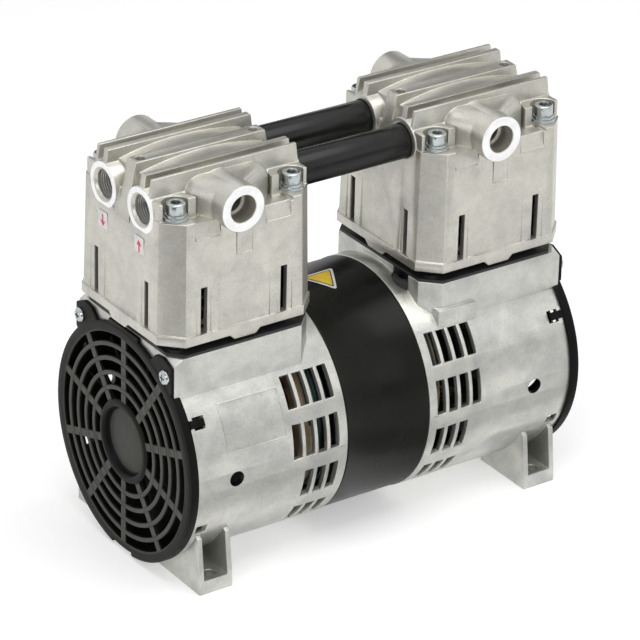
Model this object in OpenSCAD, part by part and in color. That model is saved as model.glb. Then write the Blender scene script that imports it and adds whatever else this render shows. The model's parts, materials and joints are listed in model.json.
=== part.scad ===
// Twin-cylinder piston vacuum pump with a motor between its two crankcases.
// X runs along the shaft, Z is up, and Z = 0 is the plane under the feet.
// The front end (-X) and the rear end (+X) use the same castings, turned round.

/* [Layout] */
// Gap between the barrels and the plane under the feet
floor_gap = 1.5; // [1.3:0.1:6]
// Distance of each cylinder's axis from the middle of the motor
cyl_x = 80.6; // [80:0.2:84]
// Crank throw, half of the piston stroke
throw = 6.5; // [4:0.25:6.5]
// Distance between the centres of a connecting rod's eyes
rod_len = 89.5; // [88:0.5:96]
// Running clearance of turning and sliding fits, on the radius
run_gap = 0.04; // [0.03:0.01:0.08]
// Clearance of parts that pass by or slip into each other
slip_gap = 0.3; // [0.2:0.05:0.5]

/* [Crankcase] */
// Outside radius of the barrel
barrel_r = 64.5; // [63.5:0.5:67]
// Wall of the barrel
barrel_wall = 3.5; // [3:0.25:4.5]
// Distance of the barrel's open fan end from the middle
case_end = 123; // [122:0.5:126]
// Distance of the barrel's motor end from the middle
case_joint = 26.5; // [25:0.5:29]
// Height of the saddle that carries the cylinder, above the top of the barrel
saddle_lift = 2.5; // [2:0.25:4]
// Half width of the saddle
saddle_half = 46.3; // [45:0.1:47]
// Outside radius of a shaft bearing
bearing_r = 16; // [14:0.5:18]
// Width of a shaft bearing
bearing_w = 9; // [7:0.5:11]
// Width of a foot along the shaft
foot_w = 20.3; // [16:0.1:24]
// Middle of a foot, from the middle of the motor
foot_x = 105.4; // [100:0.2:108]
// Outer edge of a foot, from the shaft
foot_y = 60.8; // [58:0.2:66]
// Thickness of a foot's sole
foot_sole = 8; // [6:0.5:10]
// Radius of a foot's screw hole
foot_hole_r = 3; // [2:0.25:4]
// Place of a foot's screw hole across the shaft
foot_hole_y = 54; // [50:0.5:56]

/* [Vents] */
// Width of a vent slot
vent_w = 5.5; // [4:0.25:6]
// Distance from one vent slot to the next
vent_pitch = 7.7; // [7:0.1:8.5]
// Distance of the first slot from the barrel's motor end
vent_inset = 5.2; // [5:0.1:7]
// Radius of the access hole to the eccentric's set screw
access_r = 3.5; // [2.5:0.25:4.5]

/* [Cylinder head] */
// Half width of the head at its pads
head_half = 45; // [44:0.25:47]
// Corner chamfer of the head, measured along a side
head_chamfer = 10.2; // [8:0.2:12]
// Wall of the head's shroud
head_wall = 3.2; // [2.5:0.1:4]
// Draft of the shroud's sides, from its skirt to its pads
head_draft = 1.4; // [0.8:0.1:2]
// Height of the shroud's lower edge above the saddle
head_gap = 6.6; // [5:0.1:9]
// Height of the pads above the head's sealing face
pad_rise = 13.8; // [13:0.2:16]
// Height of the rib tops above the pads
rib_rise = 19.6; // [16:0.2:24]
// Thickness of an outer rib
rib_thin = 2.1; // [1.5:0.1:3]
// Thickness of an inner rib
rib_thick = 4; // [3:0.25:4.5]
// Width of the middle rib
rib_mid = 8.4; // [7:0.2:10]
// Distance of a head screw from the cylinder's axis, both ways
screw_at = 34.9; // [34.5:0.1:35.3]

/* [Ports] */
// Distance of an end port from the pump's middle plane
port_y = 17.9; // [17:0.1:19]
// Outside radius of a port's boss
port_boss_r = 12.5; // [11.5:0.25:12.5]
// Radius of the end port's tapped hole at its thread crests
port_r = 7.48; // [6.5:0.01:8]
// Depth of an end port's tapped hole
port_depth = 14; // [12:0.5:18]
// Offset of a side port from the cylinder's axis
side_port_x = -4.8; // [-6:0.2:6]
// Reach of a side port's face from the cylinder's axis
side_port_reach = 51; // [49:0.5:54]
// Radius of a side port's bore
side_port_r = 7.45; // [6:0.05:8]
// Outside radius of a connecting tube
tube_r = 9.4; // [8:0.1:10]
// Depth of a tube in its socket
tube_socket = 8; // [6.5:0.25:8]

/* [Cylinder and piston] */
// Radius of the cylinder's bore
bore_r = 26; // [25:0.25:27]
// Wall of the cylinder
cyl_wall = 4; // [3:0.25:5]
// Number of cooling fins on the cylinder
cyl_fins = 6; // [3:1:7]
// Height of the piston above its pin
piston_top = 26; // [25:0.5:28]
// Gap between piston and valve plate at the top of the stroke
squish = 0.4; // [0.3:0.1:0.8]

/* [Motor] */
// Step from the barrel down to the black stator shell
shell_step = 0.5; // [0.4:0.05:1]
// Wall of the stator shell
shell_wall = 6; // [5.5:0.25:7]
// Half length of the stator core
core_half = 25; // [20:0.5:26]
// Radius of the rotor
rotor_r = 33; // [31:0.5:34]
// Shaft radius in its bearings
shaft_r = 7.5; // [6.5:0.25:8]
// Shaft radius at the cranks and fans
crank_shaft_r = 6; // [5:0.25:6]

/* [Fan and cover] */
// Radius over the fan's blades
fan_r = 55; // [48:0.5:58]
// Number of fan blades
fan_blades = 9; // [5:1:12]
// Wall of the fan cover's skirt, outside the barrel
cover_skirt = 0.9; // [0.8:0.05:0.95]
// Width of the cover's rim
rim_w = 5.9; // [5:0.1:7]
// Radius of the dished hub in the middle of the cover
hub_r = 23.2; // [20:0.2:26]
// Number of spokes in the cover
cover_spokes = 10; // [6:1:12]
// Width of a spoke
spoke_w = 4.5; // [3:0.25:5]
// Number of rings between the hub and the rim
cover_rings = 4; // [2:1:4]
// Width of a grille ring
ring_w = 2.9; // [2:0.1:3.4]

/* [Hidden] */
$fn = 72;
eps = 0.02;

// Heights, all worked up from the plane under the feet
shaft_z = barrel_r + floor_gap;
saddle_rise = barrel_r + saddle_lift;
saddle_z = shaft_z + saddle_rise;
plate_t = 1.5;
gasket_t = 0.5;
valve_t = 4.2;
cyl_base_z = saddle_z + plate_t;
cyl_top_z = shaft_z + throw + rod_len + piston_top + squish;
valve_z = cyl_top_z + gasket_t;
head_gasket_z = valve_z + valve_t;
deck_z = head_gasket_z + gasket_t;
pad_z = deck_z + pad_rise;
ledge_z = pad_z - 1.8;
rib_z = pad_z + rib_rise;
port_z = pad_z + 0.1;
side_port_z = pad_z + 4.1;
skirt_z = saddle_z + head_gap;
skirt_h = 5.4;
crown_z = rib_z - 1.6;

// Screw sizes
m6_r = 3;
m6_head_r = 5;
m6_head_h = 6;
m5_r = 2.5;
m4_r = 2;
hole_gap = 0.3;
thread_gap = 0.05;
washer_r = 6.6;
washer_t = 1.6;
spring_washer_r = 5.6;
spring_washer_t = 1.6;

bore_wall_r = barrel_r - barrel_wall;
shell_r = barrel_r - shell_step;
core_r = shell_r - shell_wall;
tie_r = core_r - 3.5;
tie_angles = [45, 135, 225, 315];
wall_in = 60.5;
wall_out = wall_in + 1 + bearing_w;
spigot_r = bore_r + cyl_wall;
cover_t = 2.5;
cover_face = case_end + cover_t;
cover_r = barrel_r + slip_gap + cover_skirt;
ear_y = saddle_half - 4.9;
ear_z = saddle_z - 10;
ecc_r = 15;
rod_bearing_r = 23.5;
rod_bearing_w = 9;
rod_eye_r = rod_bearing_r + 4.5;
rod_t = 12;
pin_r = 4;
bush_r = 5;
small_eye_r = 8;
crown_t = 4.5;
set_screw_x = cyl_x + 15.2;
fan_x0 = cyl_x + 20.2;
fan_w = 12;

// Helpers for parts that lie along the shaft
module tube_x(x0, x1, r, z = shaft_z, y = 0)
    translate([x0, y, z]) rotate([0, 90, 0]) cylinder(h = x1 - x0, r = r);
module profile_x(x0, x1)
    translate([x0, 0, 0]) rotate([90, 0, 90]) linear_extrude(x1 - x0) children();
module profile_y(y0, y1)
    translate([0, y1, 0]) rotate([90, 0, 0]) linear_extrude(y1 - y0) children();
module both_sides() { children(); mirror([0, 1, 0]) children(); }
module both_ends() { children(); mirror([1, 0, 0]) children(); }
module turned() rotate(180) children();
module corners(a = screw_at) for (i = [-1, 1], j = [-1, 1]) translate([i * a, j * a, 0]) children();
// Turns a profile of (radius, -x) round the shaft, angles counted up from the near side
module revolve_x(a0 = 0, a1 = 360)
    translate([0, 0, shaft_z]) rotate([90, 0, -90]) rotate(a0) rotate_extrude(angle = a1 - a0)
        children();
module sector(x0, x1, r0, r1, a0, a1)
    revolve_x(a0, a1) translate([r0, -x1]) square([r1 - r0, x1 - x0]);
module octagon(half, cut)
    polygon([for (s = [[1, 1], [-1, 1], [-1, -1], [1, -1]])
        for (k = (s[0] * s[1] > 0) ? [0, 1] : [1, 0])
            [s[0] * (half - k * cut), s[1] * (half - (1 - k) * cut)]]);

// Crankcase: barrel, saddle, feet, bearing wall, vents
saddle_inner = -cyl_x + 45;
saddle_chamfer = 9.4;
// Facet at the saddle's fan end: its run along the shaft, its run across, its drop
facet = [9.4, 12, 5.2];
module saddle_plan() {
    c = saddle_chamfer;
    s = saddle_half;
    polygon([[-case_end, -s], [saddle_inner - c, -s], [saddle_inner, -s + c],
             [saddle_inner, s - c], [saddle_inner - c, s], [-case_end, s]]);
}
module saddle_corner_cut() {
    x = -case_end - 1;
    y = -saddle_half - 1;
    z = saddle_z + 1;
    polyhedron([[x, y, z], [x + facet.x, y, z], [x, y + facet.y, z], [x, y, z - facet.z]],
               [[0, 1, 2], [0, 3, 1], [1, 3, 2], [0, 2, 3]]);
}
module saddle() difference() {
    translate([0, 0, shaft_z + 40]) linear_extrude(saddle_rise - 40) saddle_plan();
    both_sides() saddle_corner_cut();
}
module foot() difference() {
    web = 3;
    profile_x(-foot_x - foot_w / 2, -foot_x + foot_w / 2)
        polygon([[-foot_y, 0], [-foot_y + 0.2, foot_sole], [-foot_y + 3, 32],
                 [-50, 38], [-22, 12], [-20.6, 0]]);
    translate([-foot_x - foot_w / 2 + web, -foot_y - 1, foot_sole])
        cube([foot_w - 2 * web, foot_y - 20, 40]);
    translate([-foot_x, -foot_hole_y, -1]) cylinder(h = foot_sole + 2, r = foot_hole_r);
}
// Vent rows: lower and upper angle, number of slots
vent_rows = [[25, 41, 4], [0.3, 17.5, 4], [-24, -7.5, 3], [-50, -32.5, 3]];
module vents() for (row = vent_rows, i = [0 : row[2] - 1]) {
    x1 = -case_joint - vent_inset - i * vent_pitch;
    sector(x1 - vent_w, x1, bore_wall_r - 2, barrel_r + 2, row[0], row[1]);
}
clip_angle = 31.3;
low_clip_angle = -25.8;
clip_x = case_end - 9.5;
module clip_windows() for (a = [clip_angle, low_clip_angle])
    sector(-clip_x - 3.2, -clip_x + 3.2, bore_wall_r - 2, barrel_r + 2, a - 3, a + 3);
module plate_outline() difference() {
    line = 0.8;
    sector(-100.8, -63.9, barrel_r - 0.5, barrel_r + 0.35, 13, 37.3);
    sector(-100.8 + line, -63.9 - line, barrel_r - 0.8, barrel_r + 1, 13.7, 36.6);
}
// Thick spot under the saddle, on the far side only
module saddle_pad() translate([-66, saddle_half - 16.3, saddle_z - 29]) cube([24.5, 18.6, 14.3]);
lead_hole = [-40, 21];
lead_hole_r = 8;
module bearing_wall() {
    difference() {
        union() {
            tube_x(-wall_out, -wall_in, bearing_r + 5);
            for (a = [0 : 60 : 300]) translate([0, 0, shaft_z]) rotate([a + 30, 0, 0])
                translate([-wall_out + 1, -3.5, bearing_r + 3])
                    cube([wall_out - wall_in - 2, 7, bore_wall_r - bearing_r - 2.4]);
            for (a = tie_angles) tie_place(a) tube_x(-wall_out, -wall_in, 6.6, 0);
        }
        tube_x(-wall_out - 1, -wall_in - 1, bearing_r);
        tube_x(-wall_out - 1, -wall_in + 1, bearing_r - 2.5);
        for (a = tie_angles) tie_place(a) tube_x(-wall_out - 1, -wall_in + 1, m5_r + hole_gap, 0);
    }
}
module tie_place(a) translate([0, 0, shaft_z]) rotate([a, 0, 0]) translate([0, 0, tie_r]) children();
module crankcase() color("silver") {
    difference() {
        union() {
            tube_x(-case_end, -case_joint, barrel_r);
            saddle();
            both_sides() foot();
            plate_outline();
            saddle_pad();
        }
        tube_x(-case_end - 1, -case_joint + 1, bore_wall_r);
        tube_x(-case_joint - 5, -case_joint + 1, shell_spigot_r + thread_gap);
        both_sides() {
            vents();
            clip_windows();
            translate([-case_end - 1, -ear_y, ear_z]) rotate([0, 90, 0])
                cylinder(h = 12, r = m4_r + thread_gap);
        }
        translate([-set_screw_x, -barrel_r - 1, shaft_z]) rotate([-90, 0, 0])
            cylinder(h = 2 * barrel_r + 2, r = access_r);
        translate([-cyl_x, 0, shaft_z + 20]) cylinder(h = saddle_rise, r = spigot_r + slip_gap);
        translate([-cyl_x, 0, saddle_z - 20]) corners() cylinder(h = 21, r = m6_r + thread_gap);
        translate([lead_hole[0], lead_hole[1], saddle_z - 20]) cylinder(h = 21, r = lead_hole_r);
    }
    bearing_wall();
}
module crankcase_front() crankcase();
module crankcase_rear() turned() crankcase();

// Rubber grommet in the rear casting's lead hole
module lead_grommet() turned() color([0.06, 0.06, 0.06])
    translate([lead_hole[0], lead_hole[1], shaft_z + barrel_r]) rotate_extrude() {
        r = lead_hole_r - thread_gap;
        polygon([[r - 3, -12.5], [r, -12.5], [r, -2.9], [r - 0.9, -1.5], [r - 2.4, -1.1],
                 [r - 3.6, -1.9], [r - 3.6, -11.5]]);
    }

// Motor
shell_spigot_r = bore_wall_r + 0.8;
shell_half = case_joint + 4.7;
module stator_shell() color([0.05, 0.05, 0.05]) revolve_x() {
    j = case_joint - 0.15;
    in = core_r + thread_gap;
    polygon([[in, -shell_half], [shell_spigot_r, -shell_half], [shell_spigot_r, -j], [shell_r + 0.35, -j],
             [shell_r + 0.35, -j + 1], [shell_r, -j + 1.6], [shell_r, j - 1.6], [shell_r + 0.35, j - 1],
             [shell_r + 0.35, j], [shell_spigot_r, j], [shell_spigot_r, shell_half], [in, shell_half]]);
}
stator_slots = 24;
slot_r0 = 37;
slot_r1 = 49.5;
slot_w = 5;
air_gap = 0.4;
coil_r = slot_r1 + 0.2;
module stator_core() color("dimgray") difference() {
    tube_x(-core_half, core_half, core_r);
    tube_x(-core_half - 1, core_half + 1, rotor_r + air_gap);
    for (i = [0 : stator_slots - 1]) translate([0, 0, shaft_z]) rotate([i * 360 / stator_slots, 0, 0]) {
        translate([-core_half - 1, -slot_w / 2, slot_r0]) cube([2 * core_half + 2, slot_w, slot_r1 - slot_r0]);
        translate([-core_half - 1, -1, rotor_r - 1]) cube([2 * core_half + 2, 2, slot_r0 - rotor_r + 2]);
    }
    for (a = tie_angles) tie_place(a) tube_x(-core_half - 1, core_half + 1, m5_r + hole_gap, 0);
}
module stator_winding() color([0.80, 0.68, 0.45]) {
    w0 = core_half + slip_gap;
    for (i = [0 : stator_slots - 1]) translate([0, 0, shaft_z]) rotate([i * 360 / stator_slots, 0, 0])
        translate([-w0 - 1, -slot_w / 2 + slip_gap, slot_r0 + slip_gap])
            cube([2 * w0 + 2, slot_w - 2 * slip_gap, slot_r1 - slot_r0 - 2 * slip_gap]);
    both_ends() revolve_x() polygon([
        [slot_r0 - 0.5, w0], [slot_r0 - 0.5, w0 + 16], [slot_r0 + 3, w0 + 20],
        [slot_r1 - 2.5, w0 + 20], [coil_r, w0 + 16], [coil_r, w0]]);
}
// Motor leads laid round the winding's ends
module lead_wires() color([0.05, 0.45, 0.42]) both_ends()
    for (k = [[4, -70, 60, 1], [10, -40, 130, 1], [15.2, 10, 170, 1]])
        revolve_x(k[1], k[2])
            translate([coil_r + k[3] + 0.1, core_half + slip_gap + k[0]]) circle(r = k[3], $fn = 24);
module tie_bolts() color("lightgray") for (a = tie_angles) tie_place(a) {
    tube_x(-wall_out, wall_out + 5, m5_r, 0);
    tube_x(-wall_out - 5, -wall_out, 4.25, 0);
    translate([wall_out, 0, 0]) rotate([0, 90, 0]) cylinder(h = 4, r = 4.6, $fn = 6);
}
module bearing_ring(x0, x1, r0, r1) difference() {
    tube_x(x0, x1, r1);
    tube_x(x0 - 1, x1 + 1, r0);
    for (s = [x0 - 1, x1 - 0.5]) difference() {
        tube_x(s, s + 1.5, r1 - (r1 - r0) * 0.28);
        tube_x(s - 1, s + 3, r0 + (r1 - r0) * 0.28);
    }
}
module main_bearings() color("gainsboro") both_ends()
    bearing_ring(-wall_out, -wall_out + bearing_w, shaft_r + run_gap, bearing_r);

// Fan cover: rim, rings, spokes, dished hub, ears, brow and side clips
rim_in = cover_r - rim_w;
grille_gap = (rim_in - hub_r - cover_rings * ring_w) / (cover_rings + 1);
hub_dish_r = hub_r - 5.2;
hub_floor = case_end - 1.2;
hub_back = case_end - 3;
module fan_cover_hub() revolve_x() polygon([
    [hub_r - 3.4, hub_back], [hub_r, case_end], [hub_r, cover_face - 1.2], [hub_r - 1.2, cover_face],
    [hub_r - 3.4, cover_face], [hub_r - 4.2, cover_face - 0.8], [hub_dish_r, hub_floor],
    [hub_dish_r * 0.8, hub_floor + 0.5], [hub_dish_r * 0.5, hub_floor + 1], [0, hub_floor + 1.3],
    [0, hub_back]]);
module fan_cover_ring(r) revolve_x() polygon([
    [r - ring_w / 2, case_end], [r - ring_w / 2 + 0.3, cover_face - 0.6],
    [r + ring_w / 2 - 0.3, cover_face - 0.6], [r + ring_w / 2, case_end]]);
module fan_cover_rim() revolve_x() polygon([
    [rim_in, case_end], [rim_in, cover_face - 0.8], [rim_in + 0.8, cover_face],
    [cover_r - 0.8, cover_face], [cover_r, cover_face - 0.8], [cover_r, case_end - skirt_l],
    [barrel_r + slip_gap, case_end - skirt_l], [barrel_r + slip_gap, case_end]]);
module fan_cover_ear() translate([0, -ear_y, ear_z]) profile_x(-cover_face + 0.5, -case_end)
    polygon([[16.4, 2], [10.4, 8.2], [3.4, 9.4], [-4.6, 5.8], [-4.8, -8.5], [-2.1, -11]]);
// Tongue between the ears that covers the saddle's end
brow_half = 14;
module fan_cover_brow() profile_x(-cover_face + 0.5, -case_end) translate([-brow_half, shaft_z + rim_in + 1])
    square([2 * brow_half, saddle_rise - rim_in - 1]);
// Room for the saddle's end inside the cover's skirt
skirt_l = 3.4;
module saddle_slot() profile_x(-case_end, -case_end + 8) translate([-saddle_half - slip_gap, shaft_z + 35])
    square([2 * (saddle_half + slip_gap), saddle_rise]);
// Arm along the barrel and the hook at its end, in the crankcase's window
clip_spread = 1.9;
module fan_cover_clip() {
    a0 = clip_angle - clip_spread;
    a1 = clip_angle + clip_spread;
    sector(-case_end + 3, -clip_x + 2.6, barrel_r + slip_gap + 0.1, cover_r - 0.1, a0, a1);
    sector(-clip_x - 0.6, -clip_x + 2.6, bore_wall_r - 1, cover_r + 0.4, a0, a1);
}
module fan_cover() color([0.13, 0.13, 0.13]) difference() {
    union() {
        fan_cover_rim();
        for (i = [1 : cover_rings]) fan_cover_ring(hub_r + i * grille_gap + (i - 0.5) * ring_w);
        for (i = [0 : cover_spokes - 1]) translate([0, 0, shaft_z]) rotate([i * 360 / cover_spokes, 0, 0])
            translate([-cover_face + 0.8, -spoke_w / 2, hub_r - 1])
                cube([cover_t - 0.8, spoke_w, rim_in - hub_r + 1.6]);
        fan_cover_hub();
        fan_cover_brow();
        both_sides() { fan_cover_ear(); fan_cover_clip(); }
    }
    sector(-cover_face - 1, -case_end + 4, rim_in + 3.4, cover_r + 1, -99, -82);
    both_sides() translate([-cover_face - 1, -ear_y, ear_z]) rotate([0, 90, 0])
        cylinder(h = cover_t + 2, r = m4_r + hole_gap);
    saddle_slot();
}
module fan_cover_front() fan_cover();
module fan_cover_rear() turned() fan_cover();
module fan_cover_screws() color("lightsteelblue") for (t = [0, 180]) rotate(t) both_sides()
    translate([-cover_face + 0.5, -ear_y, ear_z]) difference() {
        union() {
            rotate([0, 90, 0]) cylinder(h = 9, r = m4_r);
            rotate([0, -90, 0]) rotate_extrude()
                polygon([[0, 0], [4, 0], [4, 1.2], [3.4, 2], [2, 2.5], [0, 2.6]]);
        }
        for (a = [0, 90]) rotate([a, 0, 0]) translate([-3, -0.5, -2.1]) cube([1.8, 1, 4.2]);
    }

// Plate on the saddle, cylinder, gaskets and valve plate
plate_step = 0.4;
module plate_plan() {
    inner = saddle_inner - plate_step;
    outer = -case_end + plate_step;
    s = saddle_half - plate_step;
    c = saddle_chamfer;
    polygon([[outer, -s + facet.y - 3], [outer + facet.x - 2.1, -s], [inner - c, -s], [inner, -s + c],
             [inner, s - c], [inner - c, s], [outer + facet.x - 2.1, s], [outer, s - facet.y + 3]]);
}
module at_front() translate([-cyl_x, 0, 0]) children();
module at_rear() translate([cyl_x, 0, 0]) children();
module base_plate() color([0.09, 0.09, 0.09]) difference() {
    translate([0, 0, saddle_z]) linear_extrude(plate_t) plate_plan();
    translate([-cyl_x, 0, saddle_z - 1]) cylinder(h = plate_t + 2, r = spigot_r + slip_gap);
    translate([-cyl_x, 0, saddle_z - 1]) corners() cylinder(h = plate_t + 2, r = m6_r + hole_gap);
}
module base_plate_front() base_plate();
module base_plate_rear() turned() base_plate();
fin_r = 38;
module cylinder_body() color("lightgray") difference() {
    flange_t = 4;
    top_flange_t = 4;
    fin_span = cyl_top_z - top_flange_t - cyl_base_z - flange_t;
    union() {
        translate([0, 0, cyl_base_z - 11]) cylinder(h = cyl_top_z - cyl_base_z + 11, r = spigot_r);
        translate([0, 0, cyl_base_z]) cylinder(h = flange_t, r = 34);
        translate([0, 0, cyl_top_z - top_flange_t]) cylinder(h = top_flange_t, r = fin_r);
        for (i = [1 : cyl_fins]) translate([0, 0, cyl_base_z + flange_t + i * fin_span / (cyl_fins + 1) - 0.9])
            cylinder(h = 1.8, r = fin_r);
    }
    translate([0, 0, cyl_base_z - 12]) cylinder(h = cyl_top_z - cyl_base_z + 14, r = bore_r);
}
module cylinder_front() at_front() cylinder_body();
module cylinder_rear() at_rear() cylinder_body();
plate_half = 38;
plate_cut = 16;
reed_y = 17;
module seal_outline() octagon(plate_half, plate_cut);
module cylinder_gasket() color([0.25, 0.30, 0.28]) translate([0, 0, cyl_top_z]) difference() {
    cylinder(h = gasket_t, r = fin_r - 0.5);
    translate([0, 0, -1]) cylinder(h = gasket_t + 2, r = bore_r + 0.6);
}
module cylinder_gasket_front() at_front() cylinder_gasket();
module cylinder_gasket_rear() at_rear() cylinder_gasket();
// Valve plate: suction holes on the near side, delivery holes on the far side
module valve_plate() color("slategray") difference() {
    translate([0, 0, valve_z]) linear_extrude(valve_t) seal_outline();
    for (s = [-1, 1], x = [-6, 0, 6]) translate([x, s * reed_y, valve_z - 1]) cylinder(h = valve_t + 2, r = 2.2);
}
module valve_plate_front() at_front() valve_plate();
module valve_plate_rear() at_rear() valve_plate();
reed_t = 0.35;
module reed(z) translate([0, 0, z]) linear_extrude(reed_t) hull() {
    translate([-9, 0]) circle(r = 4, $fn = 32);
    translate([9, 0]) circle(r = 4, $fn = 32);
}
module reed_valves() color("steelblue") {
    translate([0, -reed_y, 0]) reed(valve_z - reed_t);
    translate([0, reed_y, 0]) reed(head_gasket_z);
}
module reed_valves_front() at_front() reed_valves();
module reed_valves_rear() at_rear() reed_valves();
module reed_stops() color("slategray") translate([0, reed_y, head_gasket_z + reed_t]) {
    translate([-13, -4, 0]) cube([26, 8, 1.2]);
    for (s = [-1, 1]) translate([s * 10, 0, 1.2]) cylinder(h = 1.8, r = 2.4);
}
module reed_stops_front() at_front() reed_stops();
module reed_stops_rear() at_rear() reed_stops();
chamber_half = 22;
chamber_y0 = 4;
chamber_y1 = 29;
chamber_h = 9.5;
module chambers(h) both_sides() translate([-chamber_half, -chamber_y1, 0])
    cube([2 * chamber_half, chamber_y1 - chamber_y0, h]);
module head_gasket() color([0.25, 0.30, 0.28]) difference() {
    translate([0, 0, head_gasket_z]) linear_extrude(gasket_t) seal_outline();
    translate([0, 0, head_gasket_z - 1]) chambers(gasket_t + 2);
}
module head_gasket_front() at_front() head_gasket();
module head_gasket_rear() at_rear() head_gasket();

// Cylinder head: one casting with air shroud, ports and ribs
rib_half = 43.3;
rib_foot = 45;
mid_rib_half = 39;
rib_out = 26.4;
rib_in = 19.8;
skirt_out = 0.8;
pad_inner = 29.5;
shoulder_z = ledge_z + 10.8;
screw_recess_r = 7.4;
crown_half = 37;
crown_sag = 4.4;
head_low = head_half + head_draft;
taper_z = skirt_z + skirt_h;

// Profile of a drafted pair of walls, wide at the bottom, that starts inside the skirt
module draft_profile(low, high) profile_y(-60, 60)
    polygon([[-low, skirt_z + 1], [-high, pad_z], [high, pad_z], [low, skirt_z + 1]]);
module head_shroud() {
    diagonal = sqrt(2);
    intersection() {
        draft_profile(head_low, head_half);
        rotate(90) draft_profile(head_low, head_half);
        rotate(45) draft_profile(head_low * diagonal - (head_chamfer + 0.6) / diagonal,
                                 head_half * diagonal - head_chamfer / diagonal);
        rotate(-45) draft_profile(head_low * diagonal - (head_chamfer + 0.6) / diagonal,
                                  head_half * diagonal - head_chamfer / diagonal);
    }
    translate([0, 0, skirt_z]) linear_extrude(skirt_h) octagon(head_low + skirt_out, head_chamfer + 0.9);
    for (a = [0 : 90 : 270]) rotate(a) profile_y(-head_low - skirt_out, -head_low + head_wall)
        polygon([[-6.5, skirt_z - 2.7], [6.5, skirt_z - 2.7], [9.3, skirt_z], [9.3, skirt_z + 1],
                 [-9.3, skirt_z + 1], [-9.3, skirt_z]]);
}
// Shallow pockets and slots in the shroud's sides
module side_pockets() {
    z0 = taper_z - 0.4;
    flat = head_half + head_draft * 0.45;
    for (b = [[-15.4, 15.4], [20.4, 29], [-29, -20.4]])
        translate([b[0], -head_low - 2, z0]) cube([b[1] - b[0], head_low - flat + 2, pad_z - z0 - 12]);
    for (s = [-1, 1]) translate([s * 24.2 - 1.9, -head_low - 2, z0]) cube([3.8, 12, 25.6]);
}
module ledge_pockets() {
    translate([-pad_inner, -head_half - 2, ledge_z]) cube([2 * pad_inner, head_half + 2 - rib_out, 5]);
    for (b = [[-pad_inner, -14.5], [13, 28]]) profile_x(b[0], b[1])
        polygon([[-head_half - 2, pad_z - 10], [-head_half - 0.2, pad_z - 10],
                 [-head_half + 2.4, ledge_z + 1], [-head_half - 2, ledge_z + 1]]);
    translate([-4.8, -head_half - 2, pad_z - 23.4]) cube([9.6, 1.85, 18]);
}
module rib(y0, y1) profile_y(y0, y1)
    polygon([[-rib_foot, ledge_z - 3], [-rib_foot + 0.2, rib_z - 11], [-rib_half, rib_z], [rib_half, rib_z],
             [rib_foot - 0.2, rib_z - 11], [rib_foot, ledge_z - 3]]);
module crown() {
    r = (pow(crown_half, 2) + pow(crown_sag, 2)) / (2 * crown_sag);
    intersection() {
        translate([-crown_half, -rib_in + 1, ledge_z - 2]) cube([2 * crown_half, 2 * rib_in - 2, 40]);
        translate([0, 40, crown_z - r]) rotate([90, 0, 0]) cylinder(h = 80, r = r);
    }
    translate([-rib_foot + 1, -rib_out + 1, ledge_z - 3]) cube([2 * rib_foot - 2, 2 * rib_out - 2, 8]);
}
module mid_rib() profile_y(-rib_mid / 2, rib_mid / 2)
    polygon([[-head_half + 0.5, ledge_z - 3], [-mid_rib_half, rib_z - 0.2], [mid_rib_half, rib_z - 0.2],
             [head_half - 0.5, ledge_z - 3]]);
// Sloping cut between a pair of end ports
module port_valley() profile_y(-8, 8)
    polygon([[-head_half - 6, pad_z - 11], [-head_half - 0.1, pad_z - 11],
             [-mid_rib_half, rib_z + 1], [-head_half - 6, rib_z + 1]]);
// Ears that stand round the screws' recesses
module screw_shoulders() intersection() {
    translate([0, 0, ledge_z - 3]) corners() cylinder(h = shoulder_z - ledge_z + 3, r = 12);
    translate([-head_half + 0.6, -screw_at, ledge_z - 4]) cube([2 * head_half - 1.2, 2 * screw_at, 20]);
}
// Rounded hood that leads from the ribs to the side port
bump_r = 9;
bump_half = 15.5;
module port_hood() {
    hull() {
        for (s = [-1, 1]) translate([s * bump_half, -rib_out, crown_z - 2 - bump_r]) sphere(r = bump_r, $fn = 32);
        for (s = [-1, 1]) translate([s * bump_half, -rib_out, ledge_z - 2]) cylinder(h = 2, r = bump_r, $fn = 32);
        translate([side_port_x, -side_port_reach + 9, side_port_z]) rotate([-90, 0, 0])
            cylinder(h = 2, r = port_boss_r - 0.5, $fn = 32);
    }
    translate([side_port_x, -side_port_reach, side_port_z]) rotate([-90, 0, 0])
        cylinder(h = side_port_reach - rib_out, r = port_boss_r + 0.2);
}
module head_cavity() {
    translate([0, 0, skirt_z - 5]) linear_extrude(deck_z - skirt_z + 5)
        octagon(head_half - head_wall, head_chamfer - 1.3);
}
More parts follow.
